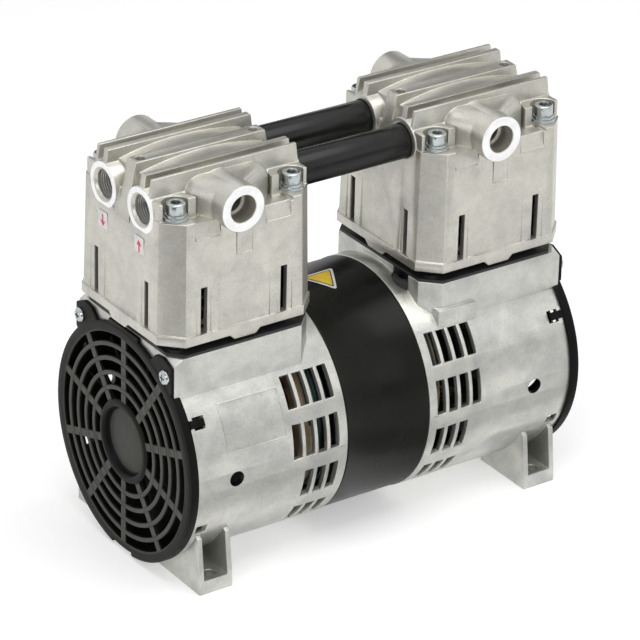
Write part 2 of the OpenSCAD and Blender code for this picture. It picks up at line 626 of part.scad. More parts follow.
// Through ducts, with a tapped port outside and a tube socket inside
module port_holes(inner) for (y = [-port_y, port_y]) {
    tube_x(-head_half - 1, head_half + 1, port_r - 1.1, port_z, y);
    translate([-inner * (head_half + 1), y, port_z]) rotate([0, inner * 90, 0]) {
        cylinder(h = port_depth + 1, r = port_r);
        cylinder(h = 2.4, r1 = port_r + 2, r2 = port_r);
    }
    translate([inner * (head_half + 1), y, port_z]) rotate([0, -inner * 90, 0])
        cylinder(h = tube_socket + 1.2, r = tube_r + thread_gap);
}
module side_port_holes() translate([side_port_x, -side_port_reach - 1, side_port_z]) rotate([-90, 0, 0]) {
    cylinder(h = 12, r = side_port_r);
    cylinder(h = side_port_reach - port_y + 4, r = side_port_r - 1.6);
}
module cylinder_head(inner) color([0.78, 0.77, 0.75]) difference() {
    union() {
        difference() {
            union() {
                difference() {
                    head_shroud();
                    head_cavity();
                    for (a = [0 : 90 : 270]) rotate(a) side_pockets();
                    both_sides() ledge_pockets();
                }
                crown();
                mid_rib();
                screw_shoulders();
            }
            both_ends() port_valley();
        }
        for (s = [-1, 1]) {
            tube_x(-head_half - 0.1, head_half + 0.1, port_boss_r, port_z, s * port_y);
            rib(s * rib_out - (1 + s) / 2 * rib_thin, s * rib_out + (1 - s) / 2 * rib_thin);
            rib(s * rib_in - (1 + s) / 2 * rib_thick, s * rib_in + (1 - s) / 2 * rib_thick);
        }
        both_sides() port_hood();
        translate([0, 0, skirt_z]) corners() cylinder(h = pad_z - skirt_z - 2, r = 5.6);
    }
    translate([0, 0, skirt_z - 5]) corners() cylinder(h = pad_z, r = m6_r + hole_gap);
    for (s = [-1, 1]) translate([s * 34, 0, rib_z - 12]) cylinder(h = 20, r = 2.6);
    translate([0, 0, deck_z - 1]) chambers(chamber_h + 1);
    translate([0, 0, pad_z]) corners() cylinder(h = rib_rise + 4, r = screw_recess_r);
    port_holes(inner);
    both_sides() side_port_holes();
}
module cylinder_head_front() at_front() cylinder_head(1);
module cylinder_head_rear() at_rear() cylinder_head(-1);

// Long screws that clamp each head and cylinder to its crankcase
module on_heads() for (s = [-1, 1]) translate([s * cyl_x, 0, pad_z]) corners() children();
screw_len = 92;
module head_screws() color([0.80, 0.85, 0.84]) on_heads()
    translate([0, 0, washer_t + spring_washer_t]) difference() {
        union() {
            translate([0, 0, -screw_len]) cylinder(h = screw_len, r = m6_r);
            rotate_extrude() polygon([[0, 0], [m6_head_r, 0], [m6_head_r, m6_head_h - 0.6],
                                      [m6_head_r - 0.6, m6_head_h], [0, m6_head_h]]);
        }
        translate([0, 0, m6_head_h - 3]) cylinder(h = 4, r = 2.9, $fn = 6);
    }
module washer(z, t, r) translate([0, 0, z]) difference() {
    cylinder(h = t, r = r);
    translate([0, 0, -1]) cylinder(h = t + 2, r = m6_r + hole_gap);
}
module flat_washers() color([0.80, 0.85, 0.84]) on_heads() washer(0, washer_t, washer_r);
module spring_washers() color([0.80, 0.85, 0.84]) on_heads() difference() {
    washer(washer_t, spring_washer_t, spring_washer_r);
    translate([0, 0, washer_t - 1]) rotate([12, 0, 20]) translate([0, -0.4, 0]) cube([8, 0.8, 5]);
}

// Tubes between the heads, and their seals
tube_end = cyl_x - head_half - 0.1 + tube_socket;
seal_x = tube_end - 5;
module tube(y) color([0.07, 0.07, 0.07]) translate([0, y, port_z - shaft_z]) difference() {
    tube_x(-tube_end, tube_end, tube_r);
    tube_x(-tube_end - 1, tube_end + 1, tube_r - 2.8);
    for (s = [-1, 1]) difference() {
        tube_x(s * seal_x - 1.2, s * seal_x + 1.2, tube_r + 1);
        tube_x(s * seal_x - 2, s * seal_x + 2, tube_r - 2);
    }
}
module tube_near() tube(-port_y);
module tube_far() tube(port_y);
module tube_seals() color("black") for (s = [-1, 1], y = [-port_y, port_y])
    translate([s * seal_x, y, port_z]) rotate([0, 90, 0]) rotate_extrude()
        translate([tube_r - 0.98, 0]) circle(r = 1, $fn = 24);

// Shaft, rotor, eccentrics and fans: everything that spins
shaft_end = fan_x0 + fan_w + 3;
module shaft() color("lightsteelblue") difference() {
    union() {
        tube_x(-core_half - 6, core_half + 6, shaft_r + 1.5);
        tube_x(-wall_out - 3.5, wall_out + 3.5, shaft_r);
        tube_x(-shaft_end, shaft_end, crank_shaft_r);
    }
    for (s = [-1, 1]) difference() {
        tube_x(s * (shaft_end - 2.2) - 0.6, s * (shaft_end - 2.2) + 0.6, crank_shaft_r + 1);
        tube_x(s * (shaft_end - 2.2) - 1, s * (shaft_end - 2.2) + 1, crank_shaft_r - 0.8);
    }
}
module rotor_core() color("dimgray") difference() {
    tube_x(-core_half, core_half, rotor_r);
    tube_x(-core_half - 1, core_half + 1, shaft_r + 1.5);
}
module rotor_cage() color("silver") both_ends() {
    difference() {
        tube_x(-core_half - 6, -core_half, rotor_r - 1);
        tube_x(-core_half - 7, -core_half + 1, rotor_r - 11);
    }
    for (i = [0 : 11]) translate([0, 0, shaft_z]) rotate([i * 30, 0, 0])
        translate([-core_half - 13, -0.9, rotor_r - 9]) cube([8, 1.8, 6]);
}
module eccentric(phase) color("gray") {
    o = phase * throw;
    x_hub = -set_screw_x - 4;
    difference() {
        union() {
            tube_x(-cyl_x - rod_t / 2, -cyl_x + rod_t / 2, ecc_r, shaft_z + o);
            translate([-cyl_x - rod_t / 2 - 6, 0, shaft_z]) rotate([0, 90, 0]) intersection() {
                cylinder(h = 6, r = 32);
                translate([phase > 0 ? -6 : -40, -40, 0]) cube([46, 80, 6]);
            }
            tube_x(x_hub, -cyl_x - rod_t / 2, ecc_r - 2);
            tube_x(-cyl_x - rod_t / 2 - 0.4, -cyl_x - rod_t / 2, ecc_r + 2.5, shaft_z + o);
        }
        tube_x(x_hub - 1, -cyl_x + rod_t / 2 + 1, crank_shaft_r);
        translate([-set_screw_x, 0, shaft_z]) rotate([90, 0, 0]) cylinder(h = 20, r = m5_r + thread_gap);
    }
}
module eccentric_front() eccentric(1);
module eccentric_rear() turned() eccentric(-1);
module set_screws() color("darkslategray") for (t = [0, 180]) rotate(t)
    translate([-set_screw_x, -crank_shaft_r, shaft_z]) rotate([90, 0, 0]) difference() {
        cylinder(h = 6.4, r = m5_r);
        translate([0, 0, 3.6]) cylinder(h = 4, r = 1.4, $fn = 6);
    }
module fan() color([0.10, 0.10, 0.10]) difference() {
    blade_t = 1.8;
    union() {
        tube_x(-fan_x0 - fan_w, -fan_x0, 14);
        for (i = [0 : fan_blades - 1]) translate([0, 0, shaft_z]) rotate([i * 360 / fan_blades, 0, 0])
            intersection() {
                translate([-fan_x0 - fan_w / 2, 0, 0]) rotate([0, 0, 38])
                    translate([-12, -blade_t / 2, 12]) cube([24, blade_t, fan_r - 12]);
                translate([-fan_x0 - fan_w, 0, 0]) rotate([0, 90, 0]) cylinder(h = fan_w, r = fan_r);
            }
    }
    tube_x(-fan_x0 - fan_w - 1, -fan_x0 + 1, crank_shaft_r);
}
module fan_front() fan();
module fan_rear() mirror([1, 0, 0]) fan();
module fan_clips() color("gray") both_ends() difference() {
    tube_x(-shaft_end + 1.8, -shaft_end + 2.6, crank_shaft_r + 2.8);
    tube_x(-shaft_end, -shaft_end + 4, crank_shaft_r - 0.8);
}

// Connecting rod, its bearing, wrist pin, piston and ring
function crank_z(phase) = shaft_z + phase * throw;
function pin_z(phase) = crank_z(phase) + rod_len;
module rod(phase) color("silver") difference() {
    z0 = crank_z(phase);
    z1 = pin_z(phase);
    union() {
        tube_x(-cyl_x - rod_t / 2, -cyl_x + rod_t / 2, rod_eye_r, z0);
        tube_x(-cyl_x - rod_t / 2, -cyl_x + rod_t / 2, small_eye_r, z1);
        profile_x(-cyl_x - rod_t / 2 + 2.5, -cyl_x + rod_t / 2 - 2.5)
            polygon([[-11, z0 + rod_eye_r - 4], [11, z0 + rod_eye_r - 4], [6.2, z1 - 5], [-6.2, z1 - 5]]);
        for (s = [-1, 1]) profile_x(-cyl_x - rod_t / 2 + 0.5, -cyl_x + rod_t / 2 - 0.5)
            polygon([[s * 11, z0 + rod_eye_r - 4], [s * 8, z0 + rod_eye_r - 3],
                     [s * 4, z1 - 5], [s * 6.2, z1 - 5]]);
    }
    tube_x(-cyl_x - rod_t, -cyl_x + rod_t, rod_bearing_r, z0);
    tube_x(-cyl_x - rod_t, -cyl_x + rod_t, bush_r, z1);
}
module connecting_rod_front() rod(1);
module connecting_rod_rear() turned() rod(-1);
module rod_bearing(phase) color("gainsboro") translate([0, 0, phase * throw])
    bearing_ring(-cyl_x - rod_bearing_w / 2, -cyl_x + rod_bearing_w / 2, ecc_r + run_gap, rod_bearing_r);
module rod_bearing_front() rod_bearing(1);
module rod_bearing_rear() turned() rod_bearing(-1);
module pin_bush(phase) color("darkgoldenrod") difference() {
    tube_x(-cyl_x - rod_t / 2, -cyl_x + rod_t / 2, bush_r, pin_z(phase));
    tube_x(-cyl_x - rod_t, -cyl_x + rod_t, pin_r, pin_z(phase));
}
module pin_bush_front() pin_bush(1);
module pin_bush_rear() turned() pin_bush(-1);
pin_half = 8.6;
module wrist_pin(phase) color("lightgray") difference() {
    tube_x(-cyl_x - pin_half, -cyl_x + pin_half, pin_r, pin_z(phase));
    tube_x(-cyl_x - pin_half - 1, -cyl_x + pin_half + 1, 2, pin_z(phase));
}
module wrist_pin_front() wrist_pin(1);
module wrist_pin_rear() turned() wrist_pin(-1);
piston_skirt = 10;
ring_h = 3;
module piston(phase) translate([-cyl_x, 0, pin_z(phase)]) color("lightgray") difference() {
    r = bore_r - 0.3;
    top = piston_top - crown_t;
    union() {
        difference() {
            translate([0, 0, -piston_skirt]) cylinder(h = piston_top + piston_skirt, r = r);
            translate([0, 0, -piston_skirt - 1]) cylinder(h = top + piston_skirt + 1, r = r - 3.2);
        }
        for (s = [0, 180]) rotate(s) intersection() {
            translate([pin_half + 0.4, -8, -8]) cube([20, 16, top + 8 + eps]);
            translate([0, 0, -piston_skirt]) cylinder(h = piston_top + piston_skirt, r = r - 1);
        }
    }
    translate([-40, 0, 0]) rotate([0, 90, 0]) cylinder(h = 80, r = pin_r + run_gap);
    translate([0, 0, piston_top - 3 - ring_h]) difference() {
        cylinder(h = ring_h, r = bore_r + 1);
        translate([0, 0, -1]) cylinder(h = ring_h + 2, r = r - 2.4);
    }
}
module piston_front() piston(1);
module piston_rear() turned() piston(-1);
module piston_ring(phase) translate([-cyl_x, 0, pin_z(phase) + piston_top - 3 - ring_h + 0.05])
    color([0.35, 0.25, 0.18]) difference() {
        cylinder(h = ring_h - 0.1, r = bore_r - run_gap);
        translate([0, 0, -1]) cylinder(h = ring_h + 2, r = bore_r - 2.6);
    }
module piston_ring_front() piston_ring(1);
module piston_ring_rear() turned() piston_ring(-1);

crankcase_front();
crankcase_rear();
stator_shell();
stator_core();
stator_winding();
lead_wires();
tie_bolts();
main_bearings();
lead_grommet();
fan_cover_front();
fan_cover_rear();
fan_cover_screws();
base_plate_front();
base_plate_rear();
cylinder_front();
cylinder_rear();
cylinder_gasket_front();
cylinder_gasket_rear();
valve_plate_front();
valve_plate_rear();
reed_valves_front();
reed_valves_rear();
reed_stops_front();
reed_stops_rear();
head_gasket_front();
head_gasket_rear();
cylinder_head_front();
cylinder_head_rear();
head_screws();
spring_washers();
flat_washers();
tube_near();
tube_far();
tube_seals();
shaft();
rotor_core();
rotor_cage();
fan_front();
fan_rear();
fan_clips();
eccentric_front();
eccentric_rear();
set_screws();
connecting_rod_front();
connecting_rod_rear();
rod_bearing_front();
rod_bearing_rear();
pin_bush_front();
pin_bush_rear();
wrist_pin_front();
wrist_pin_rear();
piston_front();
piston_rear();
piston_ring_front();
piston_ring_rear();
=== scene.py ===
# %% [markdown]
# # Dressing a twin-cylinder piston vacuum pump
#
# The pump is two die-cast crankcases with a black motor shell between them. Each crankcase carries
# a finned cylinder under a deep cast head, and two black tubes join the heads. The shapes, sizes
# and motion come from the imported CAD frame. This script gives every surface its finish, rounds what
# a mould or a tool would have rounded, and adds threads, faced rings and labels.

# %% Load the frame
import json
import math

import bmesh
import bpy
from mathutils import Matrix, Vector

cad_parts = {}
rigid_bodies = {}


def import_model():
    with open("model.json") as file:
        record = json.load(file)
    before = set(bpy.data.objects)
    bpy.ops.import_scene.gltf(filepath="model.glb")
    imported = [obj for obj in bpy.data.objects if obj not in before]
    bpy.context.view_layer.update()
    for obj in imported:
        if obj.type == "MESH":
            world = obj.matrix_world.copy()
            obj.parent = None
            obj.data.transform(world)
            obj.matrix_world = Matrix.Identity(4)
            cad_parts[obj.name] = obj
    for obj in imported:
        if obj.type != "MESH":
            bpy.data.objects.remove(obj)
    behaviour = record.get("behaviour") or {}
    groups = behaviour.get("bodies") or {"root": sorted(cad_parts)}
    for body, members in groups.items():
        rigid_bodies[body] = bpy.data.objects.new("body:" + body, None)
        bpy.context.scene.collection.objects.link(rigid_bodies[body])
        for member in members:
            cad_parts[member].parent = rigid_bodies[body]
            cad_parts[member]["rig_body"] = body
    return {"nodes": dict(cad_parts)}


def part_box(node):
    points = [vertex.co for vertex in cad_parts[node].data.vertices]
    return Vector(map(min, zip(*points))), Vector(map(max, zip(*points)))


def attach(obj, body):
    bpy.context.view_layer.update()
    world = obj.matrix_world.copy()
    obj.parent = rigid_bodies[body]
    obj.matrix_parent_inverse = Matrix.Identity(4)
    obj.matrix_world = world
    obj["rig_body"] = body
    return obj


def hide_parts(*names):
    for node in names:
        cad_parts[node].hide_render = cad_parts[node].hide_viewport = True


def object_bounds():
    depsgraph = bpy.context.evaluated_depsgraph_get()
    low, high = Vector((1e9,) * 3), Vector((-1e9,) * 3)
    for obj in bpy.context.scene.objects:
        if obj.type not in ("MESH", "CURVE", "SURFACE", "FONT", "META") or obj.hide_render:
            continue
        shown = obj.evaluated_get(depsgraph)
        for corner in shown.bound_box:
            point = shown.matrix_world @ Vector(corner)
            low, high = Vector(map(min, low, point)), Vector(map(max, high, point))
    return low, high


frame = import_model()
cad_low, cad_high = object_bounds()
nodes = frame["nodes"]
MM = 0.001

# %% [markdown]
# ## The camera
#
# A product photograph like this one is taken with a long lens from far away, so that the casting's
# parallel edges stay nearly parallel. The camera could be aimed with a constraint, but its roll and
# its exact direction matter here, so its three axes are worked out from the two angles of view and
# the roll, and put straight into its matrix.

# %% Place the camera
photo_side = 640
focal_pixels = 3922.75
camera_place = Vector((-1072.04, -1526.25, 1058.92)) * MM
azimuth, elevation, roll = (math.radians(a) for a in (35.0549, 27.1171, 1.4904))

back = Vector((-math.sin(azimuth) * math.cos(elevation),
               -math.cos(azimuth) * math.cos(elevation), math.sin(elevation)))
level = Vector((math.cos(azimuth), -math.sin(azimuth), 0))
upright = back.cross(level)
right = math.cos(roll) * level + math.sin(roll) * upright
up = -math.sin(roll) * level + math.cos(roll) * upright

camera = bpy.data.objects.new("camera", bpy.data.cameras.new("camera"))
camera.data.sensor_width = 36
camera.data.lens = focal_pixels / photo_side * camera.data.sensor_width
camera.data.clip_start, camera.data.clip_end = 0.05, 50
turn = Matrix((right, up, back)).transposed().to_4x4()
camera.matrix_world = Matrix.Translation(camera_place) @ turn
bpy.context.scene.collection.objects.link(camera)
bpy.context.scene.camera = camera
print("camera lens:", round(camera.data.lens, 1), "mm")

# %% [markdown]
# ## Light and background
#
# Bright metal shows what stands round it. A white world that only camera, glossy and transmitted
# rays see gives the castings their pale reflections and the picture its white background, while a
# weaker one lights the object. Three soft lamps stand where the photographer's boxes did: a large
# one overhead, one on the left and a weak one on the right.

# %% Make the world
world = bpy.data.worlds.new("studio")
bpy.context.scene.world = world
world.use_nodes = True
sky, sky_links = world.node_tree.nodes, world.node_tree.links
sky["Background"].inputs["Color"].default_value = (1, 1, 1, 1)


def seen_ray(tree_nodes, tree_links):
    """1 for camera, glossy and transmission rays, and 0 for the others."""
    path = tree_nodes.new("ShaderNodeLightPath")
    total = path.outputs["Is Camera Ray"]
    for kind in ("Is Glossy Ray", "Is Transmission Ray"):
        both = tree_nodes.new("ShaderNodeMath")
        both.operation = "MAXIMUM"
        tree_links.new(total, both.inputs[0])
        tree_links.new(path.outputs[kind], both.inputs[1])
        total = both.outputs[0]
    return total


world_light = 0.42
level_of = sky.new("ShaderNodeMapRange")
level_of.inputs["To Min"].default_value = world_light
level_of.inputs["To Max"].default_value = 1.0
sky_links.new(seen_ray(sky, sky_links), level_of.inputs["Value"])
sky_links.new(level_of.outputs["Result"], sky["Background"].inputs["Strength"])
bpy.context.scene.view_settings.view_transform = "Standard"
print("world light:", world_light)

# %% Hang the lamps
middle = (cad_low + cad_high) / 2


def soft_box(name, place, width, height, watts):
    """A rectangular lamp that faces the middle of the pump."""
    lamp = bpy.data.lights.new(name, "AREA")
    lamp.shape = "RECTANGLE"
    lamp.size, lamp.size_y = width, height
    lamp.energy = watts
    holder = bpy.data.objects.new(name, lamp)
    holder.location = place
    holder.rotation_euler = (Vector(place) - middle).to_track_quat("Z", "Y").to_euler()
    bpy.context.scene.collection.objects.link(holder)


soft_box("box_overhead", (0.0, -0.30, 1.25), 1.2, 0.8, 7.5)
soft_box("box_left", (-1.25, -0.75, 0.7), 0.7, 0.9, 4.0)
soft_box("box_right", (1.0, -1.5, 0.9), 1.2, 1.0, 1.5)
print("lamps: 3")

# %% [markdown]
# ### Dark cards
#
# In an all-white studio a metal block looks flat, because every face mirrors the same white. A
# photographer stands dark cards just out of the picture, so that the slanting faces mirror
# something dark and the edges between faces show. A card here is a black or grey sheet that only
# reflected rays can see: it takes no light away and casts no shadow. Each one stands where the
# mirror direction of a face leads. One is low at the left front for the corner chamfers of the
# heads, one high at the left for the left slopes, and one high behind for the top of the shell. A
# grey one in front and a pale one on the floor give the round barrels their darker bands.

# %% Stand the cards
def mesh_of(bm, name):
    """A new mesh with what the bmesh holds, which is then freed."""
    mesh = bpy.data.meshes.new(name)
    bm.to_mesh(mesh)
    bm.free()
    return mesh


def dark_card(name, place, width, height, shade=0.02, target=middle):
    """A dark sheet that faces the target and that only glossy rays see."""
    paint = bpy.data.materials.new(name)
    paint.use_nodes = True
    paint_shader = paint.node_tree.nodes["Principled BSDF"]
    paint_shader.inputs["Base Color"].default_value = (shade, shade, shade, 1)
    paint_shader.inputs["Roughness"].default_value = 0.9
    bm = bmesh.new()
    bmesh.ops.create_grid(bm, x_segments=1, y_segments=1, size=0.5)
    bmesh.ops.scale(bm, verts=bm.verts, vec=(width, height, 1))
    aim = (Vector(place) - target).to_track_quat("Z", "Y").to_matrix().to_4x4()
    bmesh.ops.transform(bm, matrix=Matrix.Translation(place) @ aim, verts=bm.verts)
    sheet = mesh_of(bm, name)
    sheet.materials.append(paint)
    card = bpy.data.objects.new(name, sheet)
    bpy.context.scene.collection.objects.link(card)
    card.visible_camera = False
    card.visible_diffuse = False
    card.visible_shadow = False


dark_card("card_low_left", (-0.50, -0.34, 0.06), 0.48, 0.38)
dark_card("card_high_left", (-0.80, -0.40, 1.05), 0.55, 0.60)
dark_card("card_high_back", (0.75, 0.95, 0.75), 1.00, 0.60)
dark_card("card_front", (0.62, -1.05, 0.24), 0.80, 0.26, 0.25)
floor_card_place = Vector((0.08, -0.125, 0.002))
dark_card("card_floor", floor_card_place, 0.42, 0.07, 0.65, floor_card_place + Vector((0, 0, 1)))
print("cards: 5")

# %% [markdown]
# ## The floor
#
# The pump stands on a plain white sweep. The floor is diffuse, so that it keeps the pump's shadow,
# and it glows a little for rays that are seen, which lifts it to white without more light on the
# pump.

# %% Lay the floor
floor_size = 6
floor_glow = 0.42
bm = bmesh.new()
bmesh.ops.create_grid(bm, x_segments=1, y_segments=1, size=floor_size)
floor_mesh = mesh_of(bm, "floor")
floor = bpy.data.objects.new("floor", floor_mesh)
bpy.context.scene.collection.objects.link(floor)

floor_finish = bpy.data.materials.new("white_sweep")
floor_finish.use_nodes = True
tree = floor_finish.node_tree
paper = tree.nodes["Principled BSDF"]
paper.inputs["Base Color"].default_value = (0.88, 0.88, 0.88, 1)
paper.inputs["Roughness"].default_value = 0.9
paper.inputs["Specular IOR Level"].default_value = 0.0
paper.inputs["Emission Color"].default_value = (1, 1, 1, 1)
glow = tree.nodes.new("ShaderNodeMath")
glow.operation = "MULTIPLY"
glow.inputs[1].default_value = floor_glow
tree.links.new(seen_ray(tree.nodes, tree.links), glow.inputs[0])
tree.links.new(glow.outputs[0], paper.inputs["Emission Strength"])
floor_mesh.materials.append(floor_finish)
print("floor laid at z = 0")

# %% [markdown]
# ## Sizes read from the frame
#
# The places of the new pieces come from the frame's own boxes. The motor shell gives the shaft's
# height, a connecting tube gives the height and the offset of the end ports, and the rear cylinder
# gives the cylinders' distance from the middle. What no box gives, such as a thread's radii or
# where the vents begin, is written here once, in the CAD's own millimetres.

# %% Read the frame's main places
shell_low, shell_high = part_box("stator_shell")
tube_low, tube_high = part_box("tube_near")
shaft_z = (shell_low.z + shell_high.z) / 2
port_y = abs(tube_low.y + tube_high.y) / 2
port_z = (tube_low.z + tube_high.z) / 2
cylinder_low, cylinder_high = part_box("cylinder_rear")
cylinder_x = (cylinder_low.x + cylinder_high.x) / 2
head_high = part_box("cylinder_head_rear")[1]
head_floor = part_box("head_gasket_rear")[1].z
head_half = 45 * MM
cavity_half, cavity_corner = 42.0 * MM, 32.7 * MM
screw_offset = 34.9 * MM
thread_crest, thread_root = 7.48 * MM, 8.25 * MM
boss_rise = 0.1 * MM
end_face = cylinder_x + head_half + boss_rise
floor_gap, barrel_wall = 1.5 * MM, 3.5 * MM
barrel_radius = shaft_z - floor_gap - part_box("crankcase_front")[0].z
barrel_bore = barrel_radius - barrel_wall
plate_start, plate_end = 63 * MM, 102 * MM
vents_start, vents_end = 31 * MM, 61 * MM
access_x = 95.8 * MM
access_cast, access_drilled = 3.5 * MM, 4.15 * MM
print("shaft height", round(shaft_z / MM, 1), "mm; port height", round(port_z / MM, 1), "mm")

# %% [markdown]
# ## Finishes
#
# Each finish is one material with a few textures on Object coordinates, which are metres in the
# pump's own frame. A texture's scale is then a real size: a noise of scale 1000 has grains of about
# a millimetre. An image texture would need an unwrapped mesh, and a noise doesn't. Small helpers
# keep the materials short: they start a finish, read a noise, colour it with a ramp, multiply
# colours and turn a noise into a relief.

# %% Helpers for finishes
def start_finish(name, colour, metallic, roughness):
    """A material with plain values, and its node tree's parts."""
    finish = bpy.data.materials.new(name)
    finish.use_nodes = True
    shader = finish.node_tree.nodes["Principled BSDF"]
    shader.inputs["Base Color"].default_value = (*colour, 1)
    shader.inputs["Metallic"].default_value = metallic
    shader.inputs["Roughness"].default_value = roughness
    return finish, finish.node_tree.nodes, finish.node_tree.links, shader


def noise(parts, links, scale, detail=4, stretch=(1, 1, 1), twist=0.0):
    """A noise on Object coordinates."""
    where = parts.new("ShaderNodeTexCoord")
    fit = parts.new("ShaderNodeMapping")
    fit.inputs["Scale"].default_value = stretch
    grain = parts.new("ShaderNodeTexNoise")
    grain.inputs["Scale"].default_value = scale
    grain.inputs["Detail"].default_value = detail
    grain.inputs["Distortion"].default_value = twist
    links.new(where.outputs["Object"], fit.inputs["Vector"])
    links.new(fit.outputs["Vector"], grain.inputs["Vector"])
    return grain.outputs["Fac"]


def ramp(parts, links, value, stops):
    """Colours along a value: stops are (place, colour)."""
    band = parts.new("ShaderNodeValToRGB")
    while len(band.color_ramp.elements) < len(stops):
        band.color_ramp.elements.new(0.5)
    for element, (place, colour) in zip(band.color_ramp.elements, stops):
        element.position = place
        element.color = (*colour, 1)
    links.new(value, band.inputs["Fac"])
    return band.outputs["Color"]


def span(parts, links, value, low, high, start=0.3, end=0.7):
    """A noise's middle part stretched from low to high."""
    fit = parts.new("ShaderNodeMapRange")
    for socket, number in (("From Min", start), ("From Max", end),
                           ("To Min", low), ("To Max", high)):
        fit.inputs[socket].default_value = number
    links.new(value, fit.inputs["Value"])
    return fit.outputs["Result"]


def relief(parts, links, shader, height, depth, strength=1.0):
    """A bump of that depth in metres, laid over the bumps before it."""
    bump = parts.new("ShaderNodeBump")
    bump.inputs["Distance"].default_value = depth
    bump.inputs["Strength"].default_value = strength
    links.new(height, bump.inputs["Height"])
    normal = shader.inputs["Normal"]
    if normal.is_linked:
        links.new(normal.links[0].from_socket, bump.inputs["Normal"])
    links.new(bump.outputs["Normal"], normal)


def multiply(parts, links, first, second, amount=1.0):
    """One colour times another."""
    mix = parts.new("ShaderNodeMix")
    mix.data_type = "RGBA"
    mix.blend_type = "MULTIPLY"
    mix.inputs["Factor"].default_value = amount
    links.new(first, mix.inputs["A"])
    links.new(second, mix.inputs["B"])
    return mix.outputs["Result"]


def grey(brightness):
    """A colour with no tint."""
    return (brightness, brightness, brightness)


print("finish helpers ready")

# %% [markdown]
# ### Where a point lies
#
# Some hollows of the pump get painted shade. The pump is nearly the same in all four quarters, so
# a finish reads the size of x and of y. Math nodes turn those into a distance from an axis, in
# metres, and a ramp over that distance darkens the colour. A painted vertex colour would do it too,
# but it would have to be painted again each time the shape changes.

# %% Helpers for places on the pump
def calculate(parts, links, operation, first, second=None):
    """A math node on sockets or numbers."""
    node = parts.new("ShaderNodeMath")
    node.operation = operation
    for place, value in enumerate((first, second)):
        if isinstance(value, bpy.types.NodeSocket):
            links.new(value, node.inputs[place])
        elif value is not None:
            node.inputs[place].default_value = value
    return node.outputs[0]


def mirrored_axes(parts, links):
    """The size of x, the size of y, and z."""
    where = parts.new("ShaderNodeTexCoord")
    apart = parts.new("ShaderNodeSeparateXYZ")
    links.new(where.outputs["Object"], apart.inputs["Vector"])
    x, y = (calculate(parts, links, "ABSOLUTE", apart.outputs[axis]) for axis in "XY")
    return x, y, apart.outputs["Z"]


def distance(parts, links, first, second):
    """The length of the hypotenuse over two sockets."""
    squares = [calculate(parts, links, "MULTIPLY", side, side) for side in (first, second)]
    return calculate(parts, links, "SQRT", calculate(parts, links, "ADD", *squares))


def shade_where(parts, links, shader, value, start, end, stops):
    """Multiplies the base colour's texture by a ramp over a value in metres."""
    place = span(parts, links, value, 0.0, 1.0, start, end)
    colour = shader.inputs["Base Color"]
    texture = colour.links[0].from_socket
    links.new(multiply(parts, links, texture, ramp(parts, links, place, stops)), colour)


print("place helpers ready")

# %% [markdown]
# ### Die-cast aluminium
#
# A die casting is pale and satin, a little warm in colour, with clouds where the metal chilled at
# different speeds and a fine skin. Three noises give it: wide clouds, small blotches and specks. A
# fourth one with a strong twist is cut to a narrow band for faint flow lines. Inside, the skin gets
# painted shade, darkest in the hollows. A second material for the inside would need
# the faces sorted by hand, so the finish itself works out where a point lies: within the barrel's
# wall, in a hole to a set screw, or under a head's crown.

# %% Cast aluminium
def cast_finish(name, brightness, green=1.0, blue=0.93, cool_share=0.88):
    """Die-cast skin: warm clouds, and cool ones that keep a share of their light."""
    warm = (brightness, brightness * green, brightness * blue)
    cool = tuple(cool_share * brightness * tint for tint in (0.995, green, blue + 0.03))
    finish, parts, links, shader = start_finish(name, warm, 0.86, 0.40)
    clouds = noise(parts, links, 42, detail=9, twist=0.9)
    blotches = noise(parts, links, 150, detail=5)
    specks = noise(parts, links, 1100, detail=2)
    flow = noise(parts, links, 14, detail=3, stretch=(1.0, 1.0, 1.6), twist=2.2)
    colour = ramp(parts, links, clouds, [(0.34, cool), (0.60, warm)])
    for value, stops, amount in (
            (blotches, [(0.35, grey(0.86)), (0.62, grey(1.0))], 0.6),
            (specks, [(0.30, grey(0.80)), (0.52, grey(1.0))], 0.7),
            (flow, [(0.48, grey(1.0)), (0.495, grey(0.84)), (0.51, grey(1.0))], 0.35)):
        colour = multiply(parts, links, colour, ramp(parts, links, value, stops), amount)
    links.new(colour, shader.inputs["Base Color"])
    links.new(span(parts, links, clouds, 0.42, 0.35), shader.inputs["Roughness"])
    relief(parts, links, shader, noise(parts, links, 130, detail=3), 0.2 * MM, 0.25)
    relief(parts, links, shader, noise(parts, links, 1500, detail=4), 0.04 * MM, 0.45)
    return finish, parts, links, shader


print("die-cast skin ready")

# %% Finish the castings
# Painted shade: this ramp darkens the skin inside the barrel's wall, in the access holes and under
# the heads' crowns.
painted_hollow_shade = [(0.0, grey(0.08)), (1.0, grey(1.0))]
wall_fade, crown_fade = 0.8 * MM, 0.4 * MM
hole_fade_start, hole_fade_end = 0.05 * MM, 0.25 * MM


def case_finish():
    """The crankcases' skin, with painted shade within the barrel's wall and in the holes to the set
    screws.
    """
    finish, parts, links, shader = cast_finish("cast_aluminium_case", 0.64, cool_share=0.80)
    x, y, z = mirrored_axes(parts, links)
    above_shaft = calculate(parts, links, "SUBTRACT", z, shaft_z)
    from_shaft = distance(parts, links, y, above_shaft)
    shade_where(parts, links, shader, from_shaft, barrel_bore, barrel_bore + wall_fade, painted_hollow_shade)
    from_hole_x = calculate(parts, links, "SUBTRACT", x, access_x)
    from_hole = distance(parts, links, from_hole_x, above_shaft)
    shade_where(parts, links, shader, from_hole, access_drilled + hole_fade_start,
                access_drilled + hole_fade_end, painted_hollow_shade)
    return finish


